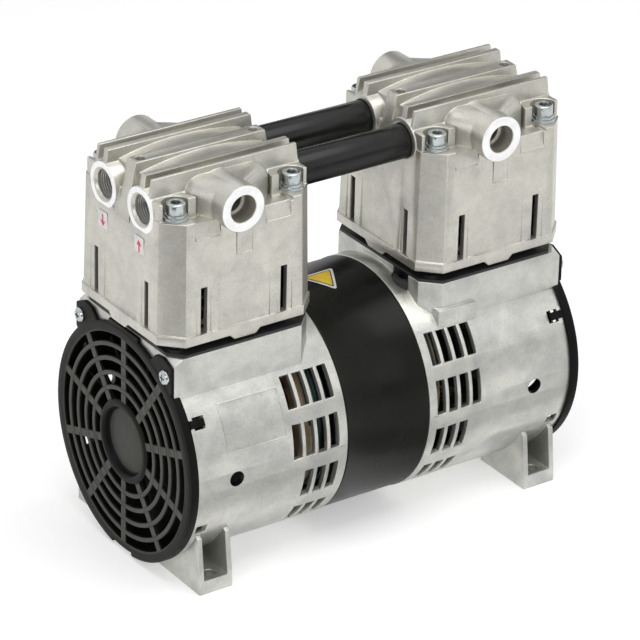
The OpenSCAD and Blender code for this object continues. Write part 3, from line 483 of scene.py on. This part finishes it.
def head_finish():
    """The heads' skin, with painted shade in the hollow that the four walls and the crown close in.
    """
    finish, parts, links, shader = cast_finish(
        "cast_aluminium_head", 0.63, green=0.978, blue=0.875)
    x, y, z = mirrored_axes(parts, links)
    from_cylinder = calculate(parts, links, "ABSOLUTE",
                              calculate(parts, links, "SUBTRACT", x, cylinder_x))
    reach = calculate(parts, links, "MAXIMUM", from_cylinder, y)
    both = calculate(parts, links, "ADD", from_cylinder, y)
    corner = calculate(parts, links, "SUBTRACT", both, cavity_corner)
    reach = calculate(parts, links, "MAXIMUM", reach, corner)
    above_floor = calculate(parts, links, "ADD", z, head_half - head_floor)
    reach = calculate(parts, links, "MAXIMUM", reach, above_floor)
    shade_where(parts, links, shader, reach, cavity_half, cavity_half + crown_fade, painted_hollow_shade)
    return finish


cast_case = case_finish()
cast_head = head_finish()
# A darker copy of the die-cast skin: painted shade for the parts inside the pump.
shaded_cast_inner = cast_finish("cast_aluminium_inner_painted_shade", 0.20)[0]
print("cast finishes:", cast_case.name, cast_head.name, shaded_cast_inner.name)

# %% [markdown]
# ### Machined and plated metal
#
# A milled or turned face is smoother and brighter than the casting round it, with fine tool marks
# that run one way. A noise that is squeezed along one axis draws them. Zinc plate is a little blue
# and blotchy, steel is darker, and a lamination stack has fine lines across its length. The screws'
# sockets and the thread's grooves get painted shade, so those two finishes read the distance from
# their own axis.

# %% Metal finishes
def tooled_finish(name, colour, roughness, marks, scale=300, depth=0.03):
    """Bright metal with fine marks along the axis where marks is small."""
    finish, parts, links, shader = start_finish(name, colour, 1.0, roughness)
    lines = noise(parts, links, scale, detail=3, stretch=marks)
    darker = tuple(c * 0.82 for c in colour)
    links.new(ramp(parts, links, lines, [(0.3, darker), (0.7, colour)]),
              shader.inputs["Base Color"])
    links.new(span(parts, links, lines, roughness * 1.25, roughness * 0.8),
              shader.inputs["Roughness"])
    relief(parts, links, shader, lines, depth * MM, 0.4)
    return finish


print("tooled metal ready")

# %% Finish the metal parts
zinc_colour = (0.52, 0.555, 0.56)
socket_radius, socket_fade = 2.5 * MM, 0.3 * MM


def screw_finish():
    """Zinc plate with painted shade in the sockets of the head screws."""
    finish = tooled_finish("zinc_plate_screw", zinc_colour, 0.24, (1, 1, 1), 180)
    parts, links = finish.node_tree.nodes, finish.node_tree.links
    x, y, z = mirrored_axes(parts, links)
    from_cylinder = calculate(parts, links, "ABSOLUTE",
                              calculate(parts, links, "SUBTRACT", x, cylinder_x))
    offsets = [calculate(parts, links, "SUBTRACT", value, screw_offset)
               for value in (from_cylinder, y)]
    # Painted shade in the hex sockets of the head screws.
    shade_where(parts, links, parts["Principled BSDF"], distance(parts, links, *offsets),
                socket_radius, socket_radius + socket_fade, [(0.0, grey(0.4)), (1.0, grey(1.0))])
    return finish


def thread_finish():
    """Cut aluminium with painted shade that deepens from the thread's crest to its root."""
    finish = tooled_finish("thread_aluminium", (0.80, 0.80, 0.78), 0.22, (1, 1, 1), 500)
    parts, links = finish.node_tree.nodes, finish.node_tree.links
    x, y, z = mirrored_axes(parts, links)
    from_port = distance(parts, links, calculate(parts, links, "SUBTRACT", y, port_y),
                         calculate(parts, links, "SUBTRACT", z, port_z))
    # Painted shade in the thread's grooves, darkest at the root.
    shade_where(parts, links, parts["Principled BSDF"], from_port, thread_crest, thread_root,
                [(0.0, grey(1.0)), (0.14, grey(0.8)), (0.4, grey(0.12)), (0.7, grey(0.02))])
    return finish


machined = tooled_finish("machined_aluminium", (0.84, 0.84, 0.82), 0.24, (2, 2, 2), 500)
bright_steel = tooled_finish("bright_steel", (0.62, 0.62, 0.61), 0.28, (8, 1, 1))
dark_steel = tooled_finish("dark_steel", (0.20, 0.20, 0.21), 0.42, (1, 1, 1))
cast_iron = tooled_finish("cast_iron", (0.34, 0.34, 0.34), 0.55, (1, 1, 1), 900, 0.1)
laminations = tooled_finish("lamination_steel", (0.36, 0.35, 0.34), 0.4, (30, 0.5, 0.5), 60, 0.1)
bronze = tooled_finish("bronze", (0.55, 0.36, 0.15), 0.35, (4, 1, 1))
zinc = tooled_finish("zinc_plate", zinc_colour, 0.24, (1, 1, 1), 180)
screw_zinc = screw_finish()
thread_metal = thread_finish()
print("metal finishes: 9")

# %% [markdown]
# ### Paint, plastic, rubber and gasket sheet
#
# Sprayed paint has an orange-peel skin under a hard gloss, so the shell gets a weak wide relief and
# a low roughness. Moulded plastic has a finer grain and a duller sheen, and rubber and gasket sheet
# are duller still. All of them are a colour with faint patches over a fine grain, so one function
# makes them.

# %% Paint, plastic and rubber
def moulded_finish(name, colour, roughness, scale, depth, gloss=0.5, metallic=0.0):
    """Plastic, paint, rubber or sheet: a slightly uneven colour over a fine grain."""
    finish, parts, links, shader = start_finish(name, colour, metallic, roughness)
    grain = noise(parts, links, scale, detail=3)
    patches = noise(parts, links, scale / 12, detail=4)
    lighter = tuple(min(1, c * 1.35 + 0.004) for c in colour)
    links.new(ramp(parts, links, patches, [(0.35, colour), (0.7, lighter)]),
              shader.inputs["Base Color"])
    links.new(span(parts, links, patches, roughness * 0.85, roughness * 1.15),
              shader.inputs["Roughness"])
    relief(parts, links, shader, grain, depth * MM, 0.5)
    shader.inputs["Specular IOR Level"].default_value = gloss
    return finish


black_paint = moulded_finish("black_paint", (0.009, 0.0095, 0.0075), 0.26, 420, 0.006, gloss=0.11)
tube_black = moulded_finish("black_tube", (0.008, 0.0085, 0.0075), 0.28, 500, 0.004, gloss=0.26)
fan_plastic = moulded_finish("fan_plastic", grey(0.006), 0.6, 1500, 0.03, gloss=0.1)
plate_black = moulded_finish("plate_black", grey(0.014), 0.5, 900, 0.03)
rubber = moulded_finish("rubber", grey(0.020), 0.7, 900, 0.03)
gasket_sheet = moulded_finish("gasket_sheet", (0.10, 0.13, 0.12), 0.8, 1200, 0.05)
slide_ring = moulded_finish("filled_ptfe", (0.13, 0.09, 0.06), 0.55, 900, 0.03)
lead_teal = moulded_finish("lead_insulation", (0.004, 0.045, 0.047), 0.42, 900, 0.02)
print("moulded finishes: 8")

# %% [markdown]
# ### Grille and winding
#
# The fan grilles are one moulding: a painted grey sheen lies on their outer faces, and painted
# shade in their depth, on the rim and on the ring round the hub. The winding is one solid too, but it
# shows another colour
# in each band along the shaft: painted shadow by the core, then the pale liner, then brown tape and
# wire.
# Both could be cut into pieces with a colour each. It is simpler to let one colour follow the
# distance from the shaft or from the middle.

# %% Grille plastic
grille_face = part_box("fan_cover_rear")[1].x
face_depth, face_fade = 1.3 * MM, 0.5 * MM
dish_radius, rim_radius = 17.6 * MM, 66 * MM


def grille_finish(name):
    """Black plastic with a painted grey sheen on its outer faces and painted shade in its depth, on
    the rim and on the ring round the hub.
    """
    # The grey base colour is a painted sheen for the outer faces.
    finish = moulded_finish(name, (0.080, 0.079, 0.071), 0.5, 1500, 0.03, gloss=0.12)
    parts, links = finish.node_tree.nodes, finish.node_tree.links
    shader = parts["Principled BSDF"]
    x, y, z = mirrored_axes(parts, links)
    radius = distance(parts, links, y, calculate(parts, links, "SUBTRACT", z, shaft_z))
    # Painted shade for the grille's depth, its rim and the ring round the hub.
    black = grey(0.12)
    outer = calculate(parts, links, "SUBTRACT", x, grille_face - face_depth)
    in_dish = calculate(parts, links, "SUBTRACT", dish_radius, radius)
    shade_where(parts, links, shader, calculate(parts, links, "MAXIMUM", outer, in_dish),
                0.0, face_fade, [(0.0, black), (1.0, grey(1.0))])
    shade_where(parts, links, shader, radius, 0.0, rim_radius, [
        (0.265, grey(0.75)), (0.280, black), (0.350, black), (0.360, grey(1.0)),
        (0.905, grey(1.0)), (0.925, grey(0.2))])
    return finish


grille_painted_light = grille_finish("grille_painted_light")
print("grille finish:", grille_painted_light.name)

# %% Winding
bands_start, bands_end = 25 * MM, 47 * MM


def winding_finish(name):
    """Varnished coils: a painted shadow near the core, then a pale liner, then brown tape and wire.
    """
    finish, parts, links, shader = start_finish(name, (0.30, 0.20, 0.10), 0.0, 0.42)
    x, y, z = mirrored_axes(parts, links)
    place = span(parts, links, x, 0.0, 1.0, bands_start, bands_end)
    # The first band of this ramp is a painted shadow by the core.
    colour = ramp(parts, links, place, [
        (0.0, grey(0.012)), (0.44, grey(0.012)), (0.50, (0.62, 0.62, 0.56)),
        (0.66, (0.66, 0.64, 0.56)), (0.72, (0.58, 0.43, 0.25)), (1.0, (0.52, 0.36, 0.19))])
    strands = noise(parts, links, 700, detail=3, stretch=(1.0, 0.15, 0.15))
    stains = noise(parts, links, 90, detail=4)
    for value, dark, amount in ((strands, grey(0.5), 0.8), (stains, (0.55, 0.42, 0.3), 0.7)):
        tint = ramp(parts, links, value, [(0.35, dark), (0.6, grey(1.0))])
        colour = multiply(parts, links, colour, tint, amount)
    links.new(colour, shader.inputs["Base Color"])
    relief(parts, links, shader, strands, 0.4 * MM, 0.8)
    return finish


winding = winding_finish("winding")
print("winding finish:", winding.name)

# %% [markdown]
# ## Pieces from the frame
#
# A CAD node's mesh is loose triangles with edges as sharp as the maths that made them. A copy is
# merged, its flat faces are made whole, and a Bevel modifier then rounds its sharp edges. A voxel
# remesh would round them too, but it would soften thin ribs and slots, and it makes far more
# faces. A bevel can push a point a little past the solid, so each point is put back into the
# node's own box.

# %% Copy a node and add a piece
def body_of(node):
    """The name of the body that carries a node."""
    return nodes[node]["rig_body"]


def merged_mesh(node, name):
    """A copy of a CAD node's mesh with its doubles merged and its flat faces made whole."""
    mesh = nodes[node].data.copy()
    mesh.name = name
    mesh.materials.clear()
    for layer in [a.name for a in mesh.attributes if a.name == "custom_normal"]:
        mesh.attributes.remove(mesh.attributes[layer])
    bm = bmesh.new()
    bm.from_mesh(mesh)
    bmesh.ops.remove_doubles(bm, verts=bm.verts, dist=0.001 * MM)
    bmesh.ops.dissolve_limit(bm, angle_limit=math.radians(0.02), verts=bm.verts, edges=bm.edges)
    bm.to_mesh(mesh)
    bm.free()
    return mesh


def add_piece(name, mesh, finish, body, stands_for=()):
    """Links a finished mesh as a piece that rides on a body."""
    piece = bpy.data.objects.new(name, mesh)
    bpy.context.scene.collection.objects.link(piece)
    mesh.materials.append(finish)
    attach(piece, body)
    if stands_for:
        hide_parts(*stands_for)
    return piece


print("copy helpers ready")

# %% Round a piece's edges
def shade_smooth(mesh, angle):
    """Smooth shading, with a hard line where faces meet at more than that angle in degrees."""
    for face in mesh.polygons:
        face.use_smooth = True
    mesh.set_sharp_from_angle(angle=math.radians(angle))


def keep_in_box(mesh, node):
    """Puts back what a bevel pushed past the node's own box."""
    low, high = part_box(node)
    for point in mesh.vertices:
        point.co = [min(max(c, a), b) for c, a, b in zip(point.co, low, high)]


def round_edges(piece, node, width, segments, limit, smooth_angle):
    """Bevels the piece's edges by that many millimetres and keeps it within the node's box."""
    bevel = piece.modifiers.new("edge", "BEVEL")
    bevel.width = width * MM
    bevel.segments = segments
    bevel.limit_method = limit
    bevel.angle_limit = math.radians(35)
    bevel.use_clamp_overlap = False
    view = bpy.context.evaluated_depsgraph_get()
    view.update()
    rounded = bpy.data.meshes.new_from_object(piece.evaluated_get(view))
    piece.modifiers.clear()
    piece.data = rounded
    rounded.name = piece.name
    keep_in_box(rounded, node)
    shade_smooth(rounded, smooth_angle)


print("edge helpers ready")

# %% [markdown]
# ## Castings
#
# A die rounds every edge of a casting, but not all alike: the vents' edges are roundest, and the
# shallow outline on the barrel is fine. One bevel width would be too much for some and too little
# for others, so each sharp edge gets its share of the widest rounding, as a bevel weight that the
# Bevel modifier reads. Before that, the tapped ports are widened to the root of their thread, and
# the holes to the set screws to their drilled size, by moving the rings of points that make the
# bores.

# %% Widen the bores
bore_margin = 0.03 * MM
tapped_from, tapped_to = 2 * MM, 15 * MM


def widen_end_ports(mesh, outward):
    """Moves the bore of both end ports of a head out to the root of the thread."""
    face = outward * end_face
    moved = 0
    for point in mesh.vertices:
        depth = (face - point.co.x) * outward
        for side in (-1, 1):
            axis = Vector((point.co.x, side * port_y, port_z))
            reach = point.co - axis
            on_bore = abs(reach.length - thread_crest) < bore_margin
            if on_bore and tapped_from < depth < tapped_to:
                point.co = axis + reach * (thread_root / reach.length)
                moved += 1
    return moved


def from_access(point):
    """A point's distance from the axis of the hole that reaches the eccentric's set screw."""
    return math.hypot(abs(point.x) - access_x, point.z - shaft_z)


def widen_access_holes(mesh):
    """Moves the wall of each access hole out to its drilled size."""
    moved = 0
    for point in mesh.vertices:
        reach = from_access(point.co)
        if abs(reach - access_cast) < bore_margin and abs(point.co.y) > barrel_bore / 2:
            share = access_drilled / reach
            middle = math.copysign(access_x, point.co.x)
            point.co.x = middle + (point.co.x - middle) * share
            point.co.z = shaft_z + (point.co.z - shaft_z) * share
            moved += 1
    return moved


print("bores go from", access_cast / MM, "to", access_drilled / MM, "mm and from",
      thread_crest / MM, "to", thread_root / MM, "mm")

# %% Weigh the edges
vent_share, other_share, hole_share, outline_share = 0.75, 0.6, 0.2, 0.16
low_margin, high_margin = 0.1 * MM, 0.5 * MM


def edge_weight(edge):
    """An edge's share of the widest rounding: most round a vent, least on the fine outline."""
    ends = [v.co for v in edge.verts]
    radii = [math.hypot(point.y, point.z - shaft_z) for point in ends]
    on_barrel = all(-low_margin < r - barrel_radius < high_margin for r in radii)
    along = [abs(point.x) for point in ends]
    if on_barrel and min(along) > vents_start and max(along) < vents_end:
        return vent_share
    if max(from_access(point) for point in ends) < access_drilled + low_margin:
        return hole_share
    if on_barrel and min(along) > plate_start and max(along) < plate_end:
        return outline_share
    return other_share


def weigh_edges(mesh, sharp_angle=28):
    """Writes each sharp edge's share of the bevel into the mesh."""
    weights = mesh.attributes.new("bevel_weight_edge", "FLOAT", "EDGE")
    bm = bmesh.new()
    bm.from_mesh(mesh)
    marked = 0
    for edge in bm.edges:
        if len(edge.link_faces) == 2 and edge.calc_face_angle(0) > math.radians(sharp_angle):
            weights.data[edge.index].value = edge_weight(edge)
            marked += 1
    bm.free()
    return marked


print("edge shares:", vent_share, other_share, hole_share, outline_share)

# %% Cast the heads and crankcases
def cast_piece(node, name, finish, outward=0, widest=0.7):
    """A casting: the node's copy with its sharp edges and corners rounded as in a die."""
    mesh = merged_mesh(node, name)
    widened = widen_end_ports(mesh, outward) if outward else widen_access_holes(mesh)
    marked = weigh_edges(mesh)
    piece = add_piece(name, mesh, finish, body_of(node), [node])
    round_edges(piece, node, widest, segments=3, limit="WEIGHT", smooth_angle=34)
    count = sum(len(face.vertices) - 2 for face in piece.data.polygons)
    print(name, "has", count, "triangles,", marked, "rounded edges and", widened, "moved points")


for end, outward in (("front", -1), ("rear", 1)):
    cast_piece("cylinder_head_" + end, "head_casting_" + end, cast_head, outward)
for end in ("front", "rear"):
    cast_piece("crankcase_" + end, "case_casting_" + end, cast_case)

# %% [markdown]
# ## Port threads
#
# Each end port is tapped for a pipe fitting. A thread could be a bump in the material, but its
# turns show in the port's mouth, so they are real. A thread is one triangular profile that turns
# and moves along the axis at once, and the spin operator with a step along the axis winds it.

# %% Wind the port threads
thread_pitch = 1.337 * MM
thread_length = 12 * MM
thread_start = 1.9 * MM
turns = thread_length / thread_pitch
thread_steps = 40
root_overlap, crest_gap = 0.15 * MM, 0.02 * MM


def wind_thread(bm, x_face, outward, y):
    """A helical ridge from the thread's root to its crest, along X into the port."""
    into = -outward
    start = x_face + into * thread_start
    ridge = [(0.0, thread_root + root_overlap), (0.5 * thread_pitch, thread_crest + crest_gap),
             (thread_pitch, thread_root + root_overlap)]
    points = [bm.verts.new((start + into * along, y, port_z + radius)) for along, radius in ridge]
    edges = [bm.edges.new(pair) for pair in zip(points, points[1:])]
    steps = round(thread_steps * turns)
    bmesh.ops.spin(bm, geom=points + edges, cent=(0, y, port_z), axis=(1, 0, 0),
                   dvec=(into * thread_length / steps, 0, 0), angle=turns * math.tau, steps=steps,
                   use_merge=False)


def port_threads(name, body, outward):
    """The threads of a head's two end ports, with their faces towards the port's axis."""
    bm = bmesh.new()
    for side in (-1, 1):
        wind_thread(bm, outward * end_face, outward, side * port_y)
    bmesh.ops.remove_doubles(bm, verts=bm.verts, dist=0.01 * MM)
    for face in bm.faces:
        centre = face.calc_center_median()
        axis = Vector((centre.x, math.copysign(port_y, centre.y), port_z))
        if face.normal.dot(axis - centre) < 0:
            face.normal_flip()
    mesh = mesh_of(bm, name)
    shade_smooth(mesh, 40)
    add_piece(name, mesh, thread_metal, body)


port_threads("port_threads_front", "housing", -1)
port_threads("port_threads_rear", "housing", 1)
print("threads:", round(turns, 1), "turns in each of 4 ports")

# %% [markdown]
# ## Machined faces of the ports
#
# Round each port the casting has been faced off, which leaves a thin bright ring. It could be a
# second material on the casting's own faces, but their edges don't lie where the cutter's do. So
# the ring is a small profile spun about the port's axis, a few hundredths proud of the casting.

# %% Face the ports
side_port_x, side_port_rise = 4.8 * MM, 4 * MM
side_face = head_high.y


def spin_profile(bm, centre, axis, profile, steps=64):
    """A closed profile of (along, radius) in millimetres, spun about an axis."""
    axis = Vector(axis)
    across = axis.orthogonal().normalized()
    points = [bm.verts.new(Vector(centre) + axis * along * MM + across * radius * MM)
              for along, radius in profile]
    edges = [bm.edges.new(pair) for pair in zip(points, points[1:] + points[:1])]
    bmesh.ops.spin(bm, geom=points + edges, cent=centre, axis=axis, angle=math.tau,
                   steps=steps, use_merge=True)


end_ring = [(0.12, 9.4), (0.12, 12.2), (0.0, 12.35), (-2.6, 12.35), (-3.0, 8.4), (-2.2, 7.9)]
side_ring = [(0.06, 7.9), (0.06, 12.3), (-0.1, 12.5), (-2.4, 12.5), (-2.4, 7.5), (-0.4, 7.5)]


def port_faces(name, body, cylinder_at, outward):
    """Bright turned rings round the two end ports and the two side ports of a head."""
    bm = bmesh.new()
    for side in (-1, 1):
        spin_profile(bm, (outward * end_face, side * port_y, port_z), (outward, 0, 0), end_ring)
        spin_profile(bm, (cylinder_at - side_port_x, side * side_face, port_z + side_port_rise),
                     (0, side, 0), side_ring)
    bmesh.ops.recalc_face_normals(bm, faces=bm.faces)
    mesh = mesh_of(bm, name)
    shade_smooth(mesh, 30)
    add_piece(name, mesh, faced, body)


faced = moulded_finish("faced_aluminium", (0.86, 0.865, 0.865), 0.48, 2200, 0.02, metallic=0.9)
port_faces("port_faces_front", "housing", -cylinder_x, -1)
port_faces("port_faces_rear", "housing", cylinder_x, 1)
print("faced rings: 8")

# %% [markdown]
# ## Shell, tubes, covers, fans and screws
#
# These are moulded, turned or plated parts whose CAD shape is right. They could stay as they are,
# but no real edge is perfectly sharp, so each is a bevelled copy. A bevel of a few tenths of a
# millimetre is enough to catch a line of light along an edge.

# %% Edge the black parts
def edged_piece(node, name, finish, edge):
    """A copy of a node with its sharp edges bevelled."""
    mesh = merged_mesh(node, name)
    piece = add_piece(name, mesh, finish, body_of(node), [node])
    round_edges(piece, node, edge, segments=2, limit="ANGLE", smooth_angle=32)


edged_piece("stator_shell", "motor_shell", black_paint, 0.25)
for side in ("near", "far"):
    edged_piece("tube_" + side, "head_tube_" + side, tube_black, 0.3)
for end in ("front", "rear"):
    edged_piece("fan_cover_" + end, "fan_grille_" + end, grille_painted_light, 0.35)
    edged_piece("fan_" + end, "cooling_fan_" + end, fan_plastic, 0.25)
    edged_piece("base_plate_" + end, "saddle_plate_" + end, plate_black, 0.2)
print("black parts: 9")

# %% Edge the bright parts
edged_piece("head_screws", "cap_screws", screw_zinc, 0.3)
edged_piece("spring_washers", "split_washers", zinc, 0.15)
edged_piece("flat_washers", "plain_washers", zinc, 0.2)
edged_piece("fan_cover_screws", "pan_screws", zinc, 0.12)
# The finned cylinders take the darker die-cast copy, which is painted shade.
for end in ("front", "rear"):
    edged_piece("cylinder_" + end, "finned_cylinder_" + end, shaded_cast_inner, 0.25)
print("bright parts: 6")

# %% [markdown]
# ## Finishes for the parts inside
#
# The other nodes are right as they are, and those that show at all are seen through the vents,
# the ports and the lead hole, where a bevel would be too small to see. Each only gets its finish,
# through its own material slot.

# %% Finish the kept nodes
# The rotor cage and the connecting rods take the darker die-cast copy, which is painted shade.
kept = {
    "stator_core": laminations, "rotor_core": laminations, "rotor_cage": shaded_cast_inner,
    "stator_winding": winding, "lead_wires": lead_teal, "lead_grommet": rubber,
    "tie_bolts": bright_steel, "main_bearings": bright_steel, "shaft": bright_steel,
    "fan_clips": dark_steel, "set_screws": dark_steel, "tube_seals": rubber,
}
for end in ("front", "rear"):
    kept.update({
        "cylinder_gasket_" + end: gasket_sheet, "head_gasket_" + end: gasket_sheet,
        "valve_plate_" + end: bright_steel, "reed_valves_" + end: bright_steel,
        "reed_stops_" + end: dark_steel, "eccentric_" + end: cast_iron,
        "connecting_rod_" + end: shaded_cast_inner, "rod_bearing_" + end: bright_steel,
        "pin_bush_" + end: bronze, "wrist_pin_" + end: bright_steel,
        "piston_" + end: machined, "piston_ring_" + end: slide_ring,
    })
for node, finish in kept.items():
    mesh = nodes[node].data
    mesh.materials.clear()
    mesh.materials.append(finish)
print("kept nodes:", len(kept))

# %% [markdown]
# ## Labels
#
# Two small white labels with a red arrow sit under the front end ports. A printed label could be a
# texture, but a plate a tenth of a millimetre thick has an edge that catches the light as paper
# does. The paper is a rectangle with bevelled corners, and the arrow is one flat outline. Both are
# extruded and leaned against the head's sloping wall.

# %% Print the port labels
label_white = moulded_finish("label_white", grey(0.80), 0.45, 1500, 0.01)
label_red = moulded_finish("label_red", (0.72, 0.03, 0.04), 0.45, 1500, 0.01)


def flat_shape(bm, outline):
    """A face from a list of (across, up) points in the plane x = 0, in millimetres."""
    return bm.faces.new([bm.verts.new((0, across * MM, height * MM)) for across, height in outline])


def rounded_plate(bm, width, height, corner):
    """A rectangle in the plane x = 0 with rounded corners."""
    w, h = width / 2, height / 2
    plate = flat_shape(bm, [(-w, -h), (w, -h), (w, h), (-w, h)])
    bmesh.ops.bevel(bm, geom=plate.verts[:], offset=corner * MM, segments=4, profile=0.5,
                    affect="VERTICES", material=-1)


def thicken(bm, thickness):
    """Extrudes the flat faces towards -X."""
    made = bmesh.ops.extrude_face_region(bm, geom=bm.faces[:])
    bmesh.ops.translate(bm, verts=[v for v in made["geom"] if isinstance(v, bmesh.types.BMVert)],
                        vec=(-thickness * MM, 0, 0))
    bmesh.ops.recalc_face_normals(bm, faces=bm.faces)


arrow = [(-0.6, -3.6), (0.6, -3.6), (0.6, 0.2), (2.2, 0.2), (0, 3.4), (-2.2, 0.2), (-0.6, 0.2)]
label_width, label_height, label_corner = 8.6, 10.6, 0.6
label_shift = 0.5 * MM
shroud_foot, shroud_top = 140.6 * MM, head_high.z - 19.6 * MM
draft_slope = 1.4 * MM / (shroud_top - shroud_foot)
label_thickness = 0.1
label_z = 187.6 * MM


def port_label(name, side, upwards):
    """A white label with a red arrow, flat on the head's sloping end face."""
    x_wall = -(cylinder_x + head_half) - draft_slope * (port_z - label_z)
    lean = Matrix.Rotation(-math.atan(draft_slope), 4, "Y")
    place = Matrix.Translation((x_wall, side * (port_y - label_shift), label_z)) @ lean
    for part, finish, lift in (("paper", label_white, 0.05), ("arrow", label_red, 0.12)):
        bm = bmesh.new()
        if part == "paper":
            rounded_plate(bm, label_width, label_height, label_corner)
        else:
            flat_shape(bm, [(a, h * upwards) for a, h in arrow])
        thicken(bm, label_thickness)
        bmesh.ops.translate(bm, verts=bm.verts, vec=(-lift * MM, 0, 0))
        bmesh.ops.transform(bm, matrix=place, verts=bm.verts)
        layer = name + "_" + part
        add_piece(layer, mesh_of(bm, layer), finish, "housing")


port_label("port_label_near", -1, 1)
port_label("port_label_far", 1, -1)
print("port labels: 2")

# %% [markdown]
# ### The shell's label
#
# A yellow triangle with a black line and a white edge is on top of the motor shell. It is three
# rounded plates, each a little smaller and a little higher than the one below. A Shrinkwrap
# modifier could lay them on the shell, but bending is exact: each plate is cut into strips, and
# each point is turned about the shaft by its own distance from the top.

# %% Print the shell label
label_black = moulded_finish("label_black", grey(0.012), 0.45, 1500, 0.01)
label_yellow = moulded_finish("label_yellow", (0.90, 0.55, 0.02), 0.4, 1500, 0.01)
shell_bead = 0.35 * MM
shell_radius = (shell_high.z - shell_low.z) / 2 - shell_bead
strips = 14
label_centre = (-1.4, -1.2)
label_turn = math.radians(152.4)


def bend_round_shell(bm, lift):
    """Wraps a flat sheet in X and Y round the shell, about its top."""
    for point in bm.verts:
        angle = point.co.y / shell_radius
        radius = shell_radius + lift * MM + point.co.z
        point.co.y = radius * math.sin(angle)
        point.co.z = shaft_z + radius * math.cos(angle)


def shell_label(name, finish, reach, corner, lift):
    """A rounded triangle, reach millimetres from its middle to a corner."""
    bm = bmesh.new()
    corners = [(label_centre[0] + reach * math.cos(turn), label_centre[1] + reach * math.sin(turn))
               for turn in (label_turn + math.tau * k / 3 for k in range(3))]
    plate = bm.faces.new([bm.verts.new((x * MM, y * MM, 0)) for x, y in corners])
    bmesh.ops.bevel(bm, geom=plate.verts[:], offset=corner * MM, segments=5, profile=0.5,
                    affect="VERTICES", material=-1)
    for cut in range(1, strips):
        across = (label_centre[1] + (2 * cut / strips - 1) * reach) * MM
        bmesh.ops.bisect_plane(bm, geom=bm.verts[:] + bm.edges[:] + bm.faces[:],
                               plane_co=(0, across, 0), plane_no=(0, 1, 0))
    made = bmesh.ops.extrude_face_region(bm, geom=bm.faces[:])
    bmesh.ops.translate(bm, verts=[v for v in made["geom"] if isinstance(v, bmesh.types.BMVert)],
                        vec=(0, 0, label_thickness * MM))
    bend_round_shell(bm, lift)
    bmesh.ops.recalc_face_normals(bm, faces=bm.faces)
    mesh = mesh_of(bm, name)
    shade_smooth(mesh, 30)
    add_piece(name, mesh, finish, "housing")


shell_label("shell_label_edge", label_white, 13.4, 2.4, 0.02)
shell_label("shell_label_line", label_black, 10.8, 1.2, 0.05)
shell_label("shell_label_face", label_yellow, 9.5, 0.7, 0.08)
print("shell label: 3 layers")
